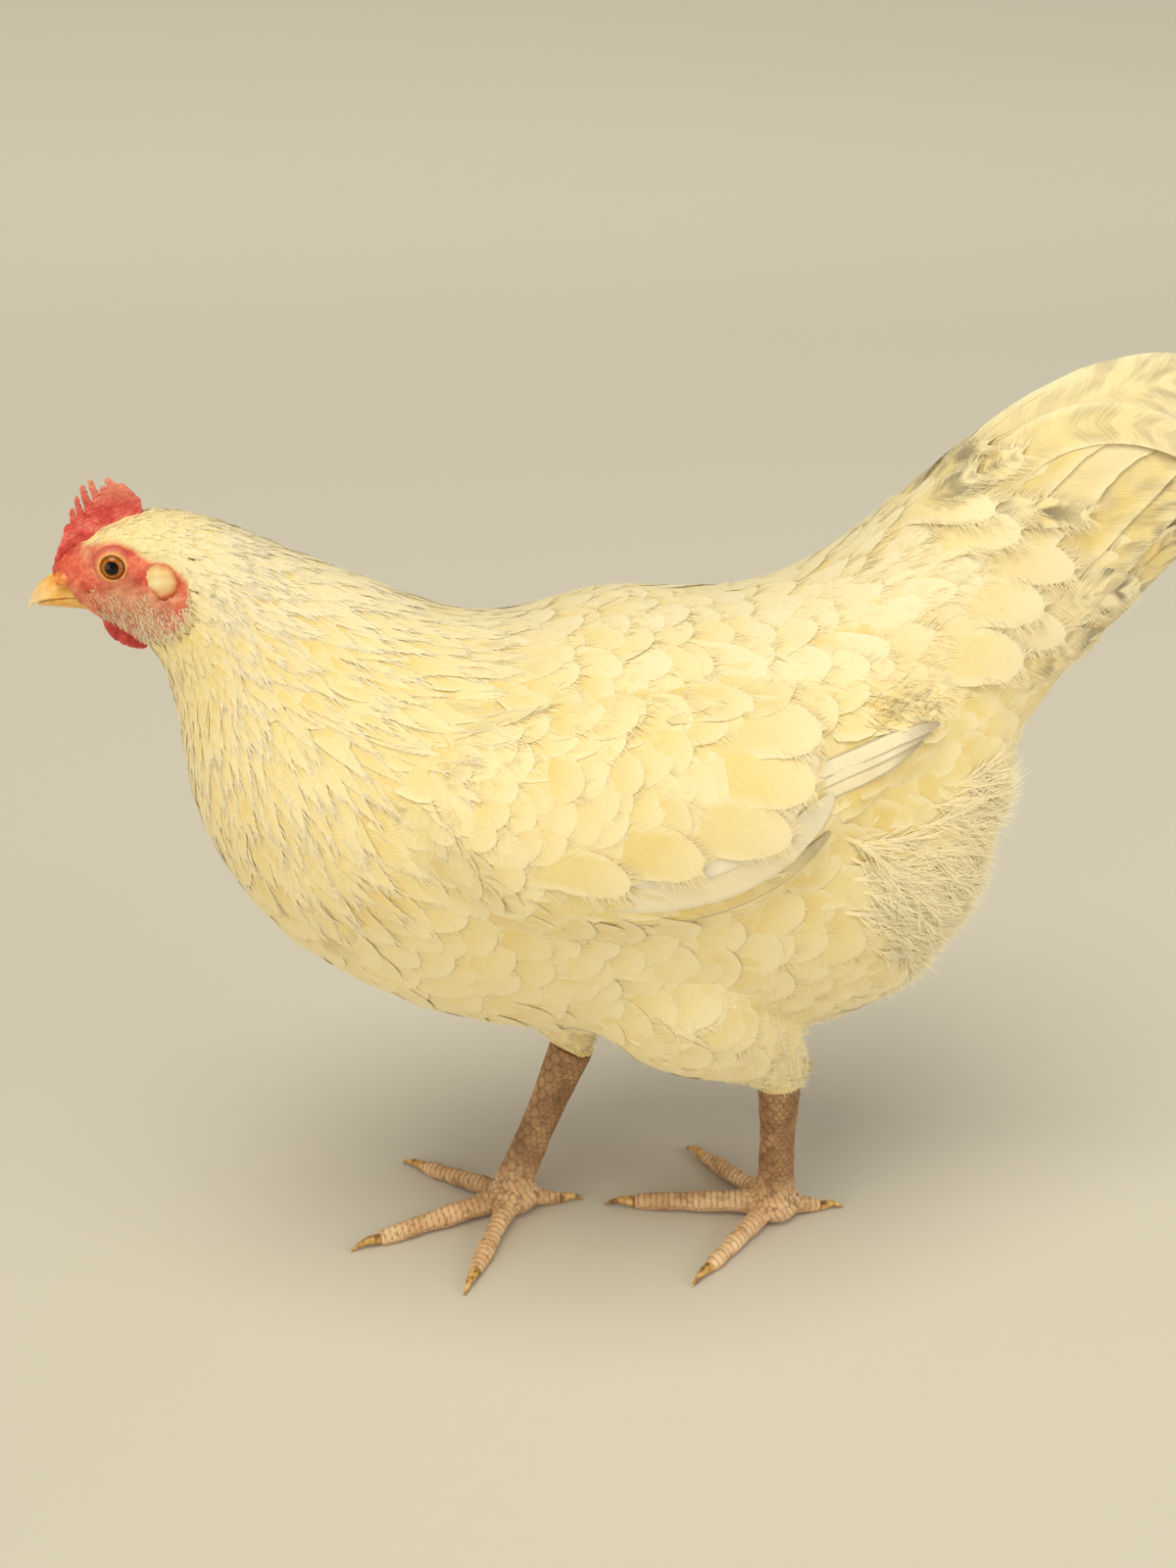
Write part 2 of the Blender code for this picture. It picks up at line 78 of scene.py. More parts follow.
def linked(name, data):
    """An object with this data, in the scene."""
    made = bpy.data.objects.new(name, data)
    bpy.context.scene.collection.objects.link(made)
    return made


camera = linked("camera", bpy.data.cameras.new("camera"))
camera.data.sensor_fit = "VERTICAL"
camera.data.sensor_height = 36
camera.data.lens = 38.25
camera.location = place(-162, -588, 470)
looking = Vector((math.sin(CAMERA_TURN) * math.cos(CAMERA_DIP),
                  math.cos(CAMERA_TURN) * math.cos(CAMERA_DIP),
                  -math.sin(CAMERA_DIP)))
camera.rotation_euler = looking.to_track_quat("-Z", "Y").to_euler()
bpy.context.scene.camera = camera
bpy.context.scene.view_settings.view_transform = "Standard"

# ---------------------------------------------------------------- body form
# The outline of the whole hen, feathers included, as one smooth closed form.
# It isn't shown: the skin is sunk below it and the feathers lie along it.
FLESH = ["head", "neck", "trunk", "wing_left", "wing_right",
         "drumstick_left", "drumstick_right"]


def copied(*meshes):
    """A bmesh with copies of these meshes."""
    bm = bmesh.new()
    for mesh in meshes:
        bm.from_mesh(mesh)
    return bm


def shown(name, bm, material=None):
    """An object with this bmesh as its mesh, shaded smooth."""
    mesh = bpy.data.meshes.new(name)
    bm.to_mesh(mesh)
    bm.free()
    mesh.shade_smooth()
    if material:
        mesh.materials.append(material)
    return linked(name, mesh)


def with_modifier(bm, kind, **settings):
    """The bmesh after one modifier, applied."""
    helper = shown("helper", bm)
    if "vertex_group" in settings:
        helper.vertex_groups.new(name=settings["vertex_group"])
    modifier = helper.modifiers.new(kind, kind)
    for key, value in settings.items():
        setattr(modifier, key, value)
    graph = bpy.context.evaluated_depsgraph_get()
    made = copied(helper.evaluated_get(graph).to_mesh())
    bpy.data.meshes.remove(helper.data)
    return made


def smoothed(bm, rounds):
    """Smooths a bmesh's points this many times."""
    for _ in range(rounds):
        bmesh.ops.smooth_vert(bm, verts=bm.verts, factor=0.5,
                              use_axis_x=True, use_axis_y=True, use_axis_z=True)


def cast(names, voxel, rounds, grow=0.0003):
    """These CAD nodes as one closed skin of even faces, smoothed.

    Each node is first grown by a hair, so that neighbours join."""
    bm = copied(*(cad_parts[name].data for name in names))
    bmesh.ops.remove_doubles(bm, verts=bm.verts, dist=1e-6)
    bm.normal_update()
    for vert in bm.verts:
        vert.co += vert.normal * grow
    bm = with_modifier(bm, "REMESH", mode="VOXEL", voxel_size=voxel)
    smoothed(bm, rounds)
    return bm


def each(bm, trait="co"):
    """The places, or the normals, of a bmesh's points in numpy."""
    return np.array([getattr(v, trait) for v in bm.verts])


def unit(ways):
    """These directions, each made one long."""
    return ways / np.maximum(np.linalg.norm(ways, axis=-1, keepdims=True), 1e-9)


class Surface:
    """A closed form that answers for the nearest place on it, with a smooth normal."""

    def __init__(self, bm):
        bmesh.ops.triangulate(bm, faces=bm.faces)
        bm.normal_update()
        bm.verts.index_update()
        self.points, self.normals = each(bm), each(bm, "normal")
        self.faces = np.array([[v.index for v in f.verts] for f in bm.faces])
        self.tree = BVHTree.FromPolygons(self.points.tolist(), self.faces.tolist())
        bm.free()

    def shares(self, places):
        """(face, shares of its three corners, place on it) nearest to each place."""
        found = [self.tree.find_nearest(p) for p in places.tolist()]
        spots = np.array([f[0] for f in found])
        faces = np.array([f[2] for f in found])
        a, b, c = (self.points[self.faces[faces, k]] for k in range(3))
        whole = np.cross(b - a, c - a)
        area = np.maximum((whole * whole).sum(1), 1e-20)
        at_b = (np.cross(spots - a, c - a) * whole).sum(1) / area
        at_c = (np.cross(b - a, spots - a) * whole).sum(1) / area
        return faces, np.stack([1 - at_b - at_c, at_b, at_c], 1), spots

    def nearest(self, places):
        """(nearest place, smooth outward normal) for each place."""
        shape = places.shape
        faces, parts, spots = self.shares(places.reshape(-1, 3))
        normals = unit((self.normals[self.faces[faces]] * parts[:, :, None]).sum(1))
        return spots.reshape(shape), normals.reshape(shape)


def body_mm(places):
    """Row-frame places as millimetres from the hen's zero, in numpy."""
    return (places - np.array([ZERO_X, 0, 0])) / MM


outline = Surface(cast(FLESH + ["tail"], 0.003, 6))

# ---------------------------------------------------------------- skin
# Thin pale skin covers the whole body under the feathers. Round the eye it is
# bare, red and finely wrinkled, and it is finer in the mesh there for that.

# (x, z) corners of the bare face, in mm
FACE = np.array([(-219, 316), (-215, 322), (-208.5, 322), (-204.5, 319.6), (-200, 320.4), (-194, 321),
                 (-189, 319.2), (-184.5, 315.6), (-179.5, 313.5), (-174.5, 311.5), (-171.5, 307),
                 (-171.7, 300), (-173.6, 294), (-178, 289.2), (-184, 286.5), (-192, 284), (-203, 288),
                 (-209, 294), (-214, 300), (-219, 306)])
# Blood shows most over and behind the eye, at the beak's root and in the folds
# round the ear lobe: x, z, reach in mm, amount.
FLUSHES = [(-196, 319, 5, 0.9), (-187, 315, 4.5, 0.9), (-183, 310, 3.5, 0.6), (-209, 310, 4.5, 0.8),
           (-204, 306, 4, 0.6), (-213, 315, 4, 1.0), (-186, 307, 3, 0.35), (-173, 305, 2.2, 0.9),
           (-175, 298, 2.4, 0.9), (-180, 292.5, 2.4, 0.9), (-203, 299, 3, 0.5), (-172.5, 310, 2.5, 0.7)]
HEAD_CENTRE = np.array([-196.0, 305.0])
# mm from the middle of the head, and the coat's depth there
COAT_DEPTH = ([0, 22, 32, 50, 85, 130], [0.6, 1.2, 2.0, 3.5, 5.5, 8.5])
THIGH_DEPTH = ([0.3, 0.75, 1.0], [8.5, 2.5, 1.0])
# the left side lies at -Y
SIDES = {"left": -1, "right": 1}
# the knee and heel of each side's leg
KNEES = {-1: np.array([(-10, -38, 148), (51, -25, 87)], float),
         1: np.array([(-66, 36, 156), (-25, 20, 87)], float)}


def inside(points, polygon):
    """How far each (x, z) point lies inside the polygon, in mm; outside is negative."""
    nearest = np.full(len(points), 1e9)
    odd = np.zeros(len(points), bool)
    for start, end in zip(polygon, np.roll(polygon, -1, axis=0)):
        way = end - start
        share = np.clip(((points - start) @ way) / (way @ way), 0, 1)
        gap = np.linalg.norm(points - start - share[:, None] * way, axis=1)
        nearest = np.minimum(nearest, gap)
        crosses = (start[1] > points[:, 1]) != (end[1] > points[:, 1])
        run = (points[:, 1] - start[1]) / (way[1] if way[1] else 1e-9) * way[0] + start[0]
        odd ^= crosses & (points[:, 0] < run)
    return np.where(odd, nearest, -nearest)


def from_head(mm):
    """Distance in mm from the middle of the head, in side view."""
    return np.linalg.norm(mm[:, [0, 2]] - HEAD_CENTRE, axis=1)


def along_thigh(mm, side):
    """(share of the way from knee to heel, distance in mm from that line on this side)."""
    knee, heel = KNEES[side]
    way = heel - knee
    share = ((mm - knee) @ way) / (way @ way)
    gap = np.linalg.norm(mm - knee - np.clip(share, 0, 1)[:, None] * way, axis=1)
    return share, np.where(np.sign(mm[:, 1]) == side, gap, np.inf)


def bare(mm):
    """1 on the bare skin of the face, 0 where feathers grow, soft between."""
    on_side = np.clip(np.maximum((np.abs(mm[:, 1]) - 3.5) / 3.0, (-203.5 - mm[:, 0]) / 2.5), 0, 1)
    under = np.clip((294 - mm[:, 2]) / 4, 0, 1)
    return np.clip(inside(mm[:, [0, 2]], FACE) / 2.0 + 0.5, 0, 1) * np.maximum(on_side, under)


def coat_depth(mm):
    """How deep the skin lies under the outline of the feathers, in mm."""
    depth = np.interp(from_head(mm), *COAT_DEPTH)
    for side in KNEES:
        share, gap = along_thigh(mm, side)
        near = (gap < 40) & (share > 0.3) & (mm[:, 2] < 135)
        depth = np.where(near, np.minimum(depth, np.interp(share, *THIGH_DEPTH)), depth)
    return depth * (1 - 0.9 * bare(mm))


def waves(mm, size, seed, turns=7):
    """Smooth random values from about -1 to 1 over the body, of this size in mm."""
    rng = np.random.default_rng(seed)
    total = np.zeros(len(mm))
    for _ in range(turns):
        way = rng.normal(size=3)
        way /= np.linalg.norm(way)
        total += np.sin(mm @ way * (2 * math.pi / size) * rng.uniform(0.7, 1.4) + rng.uniform(0, 6.3))
    return total / math.sqrt(turns)


def srgb(code):
    """A hex colour as the linear colour that shaders take."""
    parts = [int(code[k:k + 2], 16) / 255 for k in (0, 2, 4)]
    return tuple(c / 12.92 if c <= 0.04045 else ((c + 0.055) / 1.055) ** 2.4 for c in parts) + (1.0,)


def feed(tree, node, inputs):
    """Links or sets the inputs of a node, and gives its outputs."""
    for key, value in inputs.items():
        if isinstance(value, bpy.types.NodeSocket):
            tree.links.new(value, node.inputs[key])
        else:
            node.inputs[key].default_value = value
    return node.outputs


def add(tree, kind, inputs=None, stops=(), **settings):
    """The outputs of one new node with these inputs, colour (place, hex) stops and settings."""
    made = tree.nodes.new("ShaderNode" + kind)
    for key, value in settings.items():
        setattr(made, key, value)
    if stops:
        elements = made.color_ramp.elements
        while len(elements) < len(stops):
            elements.new(0.5)
        for element, (spot, code) in zip(elements, stops):
            element.position = spot
            element.color = srgb(code)
    return feed(tree, made, inputs or {})


def finish(tree, shader, colour, height, strength, depth, inputs, invert=False):
    """Gives a shader its colour, its bump, up to this deep in metres, and these inputs."""
    bump = add(tree, "Bump", {"Height": height, "Strength": strength, "Distance": depth}, invert=invert)[0]
    feed(tree, shader, {"Base Color": colour, "Normal": bump, **inputs})


def new_material(name):
    """(material, its node tree, its Principled shader)."""
    material = bpy.data.materials.new(name)
    material.use_nodes = True
    tree = material.node_tree
    return material, tree, next(n for n in tree.nodes if n.type == "BSDF_PRINCIPLED")


def carry(mesh, name, values, kind="FLOAT", field="value"):
    """Keeps one value for each point of a mesh, for its material."""
    made = mesh.attributes.new(name, kind, "POINT")
    made.data.foreach_set(field, values.astype(np.float32).ravel())


def fitted(piece, slot, *nodes):
    """Fixes a piece to the hen, in place of these CAD nodes."""
    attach(piece, "root")
    if nodes:
        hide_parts(*nodes)
    return piece


# Away from the head the feathers hide the skin, so it is coarse there.
skin_bm = cast(FLESH, 0.0011, 2)
hidden = np.clip((from_head(body_mm(each(skin_bm))) - 30) / 6, 0, 1)
weight = skin_bm.verts.layers.deform.new("thin")
for vert, share in zip(skin_bm.verts, hidden):
    vert[weight][0] = float(share)
skin_bm = with_modifier(skin_bm, "DECIMATE", ratio=0.12, vertex_group="thin")
on_face = bare(body_mm(each(skin_bm))) > 0.02
skin_bm.verts.index_update()
face_edges = [e for e in skin_bm.edges if all(on_face[v.index] for v in e.verts)]
bmesh.ops.subdivide_edges(skin_bm, edges=face_edges, cuts=1, use_grid_fill=True, smooth=0.0)
bmesh.ops.triangulate(skin_bm, faces=skin_bm.faces)
skin_bm.normal_update()
points, normals = each(skin_bm), each(skin_bm, "normal")
mm = body_mm(points)
bareness = bare(mm)
wrinkle = 0.28 * waves(mm, 3.2, 3) * np.abs(waves(mm, 7.0, 4)) + 0.16 * waves(mm, 1.5, 5)
outward = np.where(bareness[:, None] > 0.3, normals, outline.nearest(points)[1])
sunk = points + outward * (-coat_depth(mm) * MM)[:, None]
sunk += normals * (wrinkle * bareness * MM)[:, None]
for vert, spot in zip(skin_bm.verts, sunk):
    vert.co = spot

# Living bird skin: blood close under it makes the bare face red and a little
# glossy, with light spots 1 mm apart; under the feathers it is cream.
skin_material, tree, shader = new_material("thin_bird_skin")
spot_place = add(tree, "TexCoord")["Object"]
patches = add(tree, "TexNoise", {"Vector": spot_place, "Scale": 160.0, "Detail": 4.0,
                                 "Roughness": 0.6})["Fac"]
red = add(tree, "ValToRGB", {0: patches}, [(0.32, "B43A28"), (0.48, "DA5A40"), (0.64, "EC8460")])[0]
pale = add(tree, "ValToRGB", {0: patches}, [(0.30, "B4624A"), (0.50, "D08664"), (0.68, "E4AA80")])[0]
blood = add(tree, "Attribute", attribute_name="flush")["Fac"]
red = add(tree, "Mix", {0: blood, 6: pale, 7: red}, data_type="RGBA")[2]
grain = add(tree, "TexVoronoi", {"Vector": spot_place, "Scale": 900.0})["Distance"]
spotted = add(tree, "ValToRGB", {0: grain}, [(0.0, "404040"), (0.6, "000000")])[0]
red = add(tree, "Mix", {0: spotted, 6: red, 7: srgb("F0B8A0")}, data_type="RGBA")[2]
bare_share = add(tree, "Attribute", attribute_name="bare")["Fac"]
red = add(tree, "Mix", {0: bare_share, 6: srgb("EED998"), 7: red}, data_type="RGBA")[2]
finish(tree, shader, red, grain, 0.5, 0.0004, {"Roughness": 0.55})
skin = fitted(shown("skin", skin_bm, skin_material), "plumage", *FLESH)
carry(skin.data, "bare", bareness)
flush = 0.08 * waves(mm, 5.0, 6)
for x, z, reach, amount in FLUSHES:
    flush += amount * np.exp(-((mm[:, 0] - x) ** 2 + (mm[:, 2] - z) ** 2) / (2 * reach ** 2))
carry(skin.data, "flush", np.clip(flush, 0, 1))

# The skin is unwrapped as a whole, and each feather has its own patch beside its root.
bpy.context.view_layer.objects.active = skin
skin.select_set(True)
skin.data.uv_layers.new(name="OFBake")
bpy.ops.object.mode_set(mode="EDIT")
bpy.ops.mesh.select_all(action="SELECT")
bpy.ops.uv.smart_project(angle_limit=math.radians(66), island_margin=0.002)
bpy.ops.object.mode_set(mode="OBJECT")
skin.select_set(False)
skin_form = Surface(copied(skin.data))
unwrap = np.zeros(len(skin.data.loops) * 2)
skin.data.uv_layers["OFBake"].data.foreach_get("uv", unwrap)
unwrap = unwrap.reshape(-1, 3, 2)


def patch_centres(roots):
    """Where each root lies on the skin's unwrap."""
    faces, parts, _ = skin_form.shares(roots)
    return (unwrap[faces] * parts[:, :, None]).sum(1)


# ---------------------------------------------------------------- lie of the coat
# Feathers grow in tracts, each with its own length, width and direction. These
# sites say what grows there, and every feather takes the mean of those near it.
# x, |y|, z | direction | length, width, spacing in mm | pointed, stiff, loose 0-1
SITES = np.array([
    (-207, 5, 321, 1, 0, 0.5, 4, 1.8, 1.5, 0.3, 0.0, 0.3),
    (-196, 9, 325, 1, 0, 0.05, 4.5, 2.0, 1.6, 0.3, 0.0, 0.3),
    (-182, 12, 324, 1, 0, -0.3, 6, 2.4, 1.9, 0.4, 0.0, 0.3),
    (-170, 18, 306, 0.7, 0, -0.7, 7, 2.6, 2.0, 0.5, 0.0, 0.4),
    (-178, 16, 288, 0.5, 0, -0.9, 7, 2.4, 1.9, 0.5, 0.0, 0.4),
    (-190, 5, 281, 0.3, 0, -1, 7, 2.4, 2.0, 0.5, 0.0, 0.4),
    (-160, 18, 318, 0.92, 0, -0.4, 14, 4.2, 2.7, 0.7, 0.1, 0.4),
    (-160, 22, 292, 0.6, 0, -0.8, 16, 4.5, 2.8, 0.8, 0.1, 0.4),
    (-172, 20, 265, 0.3, 0, -0.95, 18, 5, 3.1, 0.8, 0.1, 0.4),
    (-181, 6, 250, 0.05, 0, -1, 18, 6, 3.5, 0.7, 0.1, 0.4),
    (-130, 20, 305, 0.93, 0, -0.37, 30, 7, 3.9, 0.9, 0.15, 0.4),
    (-135, 32, 280, 0.75, 0, -0.66, 34, 7, 3.9, 1.0, 0.15, 0.4),
    (-150, 30, 250, 0.5, 0, -0.86, 34, 7, 3.9, 1.0, 0.15, 0.4),
    (-178, 14, 225, 0.1, 0, -1, 26, 9, 4.6, 0.7, 0.1, 0.35),
    (-105, 32, 288, 0.88, 0, -0.45, 40, 8.5, 4.4, 1.0, 0.15, 0.4),
    (-115, 40, 262, 0.75, 0, -0.66, 42, 8.5, 4.4, 1.0, 0.15, 0.4),
    (-140, 38, 225, 0.5, 0, -0.86, 40, 9, 4.6, 1.0, 0.15, 0.4),
    (-170, 20, 200, 0.3, 0.1, -1, 32, 18, 6.0, 0.3, 0.05, 0.3),
    (-158, 36, 182, 0.5, 0.1, -0.85, 36, 25, 8.2, 0.05, 0.0, 0.25),
    (-135, 50, 170, 0.75, 0.1, -0.65, 38, 27, 9.0, 0.0, 0.0, 0.25),
    (-110, 50, 140, 0.88, 0, -0.5, 38, 27, 9.0, 0.0, 0.0, 0.25),
    (-100, 66, 185, 0.87, 0, -0.5, 36, 25, 8.6, 0.0, 0.0, 0.25),
    (-60, 45, 118, 0.97, 0, -0.2, 40, 25, 8.6, 0.1, 0.0, 0.4),
    (-40, 72, 155, 0.93, 0, -0.35, 42, 26, 8.6, 0.1, 0.0, 0.5),
    (0, 40, 106, 1, 0, -0.05, 40, 24, 8.6, 0.2, 0.0, 0.6),
    (-90, 55, 248, 0.85, 0.1, -0.5, 28, 19, 6.4, 0.1, 0.0, 0.3),
    (-60, 76, 238, 0.88, 0, -0.45, 28, 21, 7.2, 0.05, 0.0, 0.25),
    (-65, 76, 212, 0.9, 0, -0.4, 27, 19, 6.8, 0.05, 0.0, 0.25),
    (-20, 82, 240, 0.92, 0, -0.38, 36, 27, 9.2, 0.0, 0.0, 0.25),
    (-20, 84, 210, 0.97, 0, -0.2, 34, 24, 8.6, 0.0, 0.0, 0.25),
    (20, 80, 245, 0.96, 0, -0.25, 42, 31, 11.0, 0.0, 0.1, 0.25),
    (20, 82, 215, 0.97, 0, 0.12, 38, 27, 10.0, 0.0, 0.1, 0.25),
    (60, 72, 250, 0.98, 0, 0.1, 42, 28, 10.0, 0.1, 0.2, 0.3),
    (-60, 20, 287, 1, 0, -0.05, 34, 23, 7.6, 0.1, 0.0, 0.4),
    (-60, 52, 272, 0.95, 0.1, -0.3, 33, 23, 7.6, 0.1, 0.0, 0.4),
    (0, 20, 289, 1, 0, 0.02, 38, 23, 7.8, 0.25, 0.05, 0.45),
    (0, 56, 275, 0.97, 0.08, -0.15, 40, 25, 8.4, 0.2, 0.05, 0.45),
    (45, 20, 294, 1, 0, 0.18, 48, 19, 7.2, 0.6, 0.1, 0.55),
    (45, 54, 278, 0.98, 0.05, 0.08, 48, 21, 7.6, 0.5, 0.15, 0.55),
    (85, 12, 308, 0.9, 0, 0.45, 54, 18, 7.2, 0.7, 0.2, 0.55),
    (85, 46, 285, 0.95, 0, 0.3, 56, 21, 7.8, 0.6, 0.25, 0.55),
    (80, 60, 248, 0.95, 0, 0.1, 52, 25, 8.6, 0.4, 0.2, 0.6),
    (70, 66, 205, 0.9, 0, -0.3, 44, 28, 9.4, 0.2, 0.1, 0.8),
    (30, 72, 165, 0.85, 0, -0.5, 44, 28, 9.4, 0.15, 0.05, 0.8),
    (100, 56, 180, 0.8, 0, -0.55, 42, 28, 9.4, 0.2, 0.2, 0.9),
    (112, 40, 145, 0.8, 0, -0.55, 40, 28, 9.4, 0.2, 0.3, 1.0),
    (95, 30, 112, 0.9, 0, -0.35, 36, 25, 9.0, 0.2, 0.3, 1.0),
    (118, 44, 225, 0.93, 0, 0.0, 46, 31, 10.5, 0.1, 0.3, 0.6),
    (135, 34, 195, 0.92, 0, 0.1, 44, 31, 10.5, 0.05, 0.35, 0.6),
    (115, 30, 322, 0.85, 0, 0.55, 52, 20, 7.6, 0.5, 0.3, 0.45),
    (125, 42, 275, 0.9, 0, 0.35, 56, 26, 9.0, 0.3, 0.3, 0.45),
    (145, 15, 340, 0.82, 0, 0.57, 56, 26, 9.5, 0.1, 0.4, 0.35),
    (150, 34, 290, 0.87, 0, 0.45, 58, 29, 10.5, 0.05, 0.4, 0.35),
    (160, 30, 245, 0.85, 0, 0.5, 46, 29, 10.5, 0.05, 0.4, 0.35),
    (200, 20, 330, 0.82, 0, 0.5, 56, 28, 10.0, 0.1, 0.5, 0.3),
    (20, 60, 130, 0.75, 0, -0.65, 34, 23, 8.0, 0.15, 0.0, 0.8),
], float)
LENGTH, WIDTH, SPACING, POINTED, STIFF, LOOSE = range(6)
# square mm within which a site rules alone
SITE_CORE = 30.0
# what grows near the heel, where the thigh's feathers end
HEEL_TRAITS = np.array([11, 7.5, 3.4, 0.2, 0.0, 0.3])
# rooted places are kept in cells of this side, wider than any spacing
CELL = 12 * MM
# the side of one feather's patch on the unwrap, whose own side is 1
PATCH = 0.003


def tract(mm):
    """(direction, traits) of the feathers that grow at these places of the hen."""
    folded = mm.copy()
    folded[:, 1] = np.abs(folded[:, 1])
    gap = ((folded[:, None, :] - SITES[None, :, :3]) ** 2).sum(2)
    pull = 1.0 / (gap + SITE_CORE) ** 2
    pull /= pull.sum(1, keepdims=True)
    way = pull @ SITES[:, 3:6]
    way[:, 1] *= np.sign(mm[:, 1])
    traits = pull @ SITES[:, 6:]
    for side, (knee, heel) in KNEES.items():
        share, reach = along_thigh(mm, side)
        hold = (np.clip((share - 0.35) / 0.3, 0, 1) * (mm[:, 2] < 125) * (reach < 34))[:, None]
        way = way * (1 - hold) + hold * (heel - knee) / np.linalg.norm(heel - knee)
        traits = traits * (1 - hold) + HEEL_TRAITS * hold
    return way, traits


def scattered(spacing_of, keep, seed, tries):
    """Random places on the outline, no two nearer than the spacing asked for there.

    With tries below zero, they are drawn only from the faces that keep allows."""
    rng = np.random.default_rng(seed)
    corners = outline.points[outline.faces]
    area = np.linalg.norm(np.cross(corners[:, 1] - corners[:, 0], corners[:, 2] - corners[:, 0]), axis=1)
    if tries < 0:
        area, tries = area * keep(body_mm(corners.mean(1))), -tries
    drawn = rng.choice(len(area), tries, p=area / area.sum())
    a, b = rng.random(tries), rng.random(tries)
    over = a + b > 1
    a[over], b[over] = 1 - a[over], 1 - b[over]
    c = corners[drawn]
    places = c[:, 0] + a[:, None] * (c[:, 1] - c[:, 0]) + b[:, None] * (c[:, 2] - c[:, 0])
    places = places[keep(body_mm(places))]
    spacing = spacing_of(body_mm(places)) * MM
    grid, chosen = {}, []
    for index, (spot, room) in enumerate(zip(places.tolist(), spacing.tolist())):
        cell = tuple(int(s // CELL) for s in spot)
        near = product(*((k - 1, k, k + 1) for k in cell))
        if all(math.dist(other, spot) >= room for key in near for other in grid.get(key, ())):
            grid.setdefault(cell, []).append(spot)
            chosen.append(index)
    return places[chosen]


def marched(roots, lengths, stiff, rows, turn):
    """Spines that run from the roots along the lie of the coat: (places, normals)."""
    spots, ups = outline.nearest(roots)
    step = (lengths * MM / (rows - 1))[:, None]
    spine, normals, way = [spots], [ups], None
    for _ in range(rows - 1):
        fresh = tract(body_mm(spots))[0]
        fresh += np.cross(ups, fresh) * turn[:, None]
        fresh = unit(fresh - ups * (fresh * ups).sum(1, keepdims=True))
        way = fresh if way is None else way * stiff[:, None] + fresh * (1 - stiff[:, None])
        way = unit(way)
        ahead = spots + way * step
        on, ups = outline.nearest(ahead)
        spots = on + (ahead - on) * stiff[:, None]
        spine.append(spots)
        normals.append(ups)
    return np.stack(spine, 1), np.stack(normals, 1)


def vane_grid(rows, columns):
    """The faces of one feather's vane, rows from quill to tip, columns across."""
    bm = bmesh.new()
    bmesh.ops.create_grid(bm, x_segments=rows - 1, y_segments=columns - 1, size=1.0)
    bm.verts.index_update()
    order = sorted(bm.verts, key=lambda v: (round(v.co.x, 4), round(v.co.y, 4)))
    rank = {v.index: k for k, v in enumerate(order)}
    faces = np.array([[rank[v.index] for v in f.verts] for f in bm.faces])
    bm.free()
    return faces


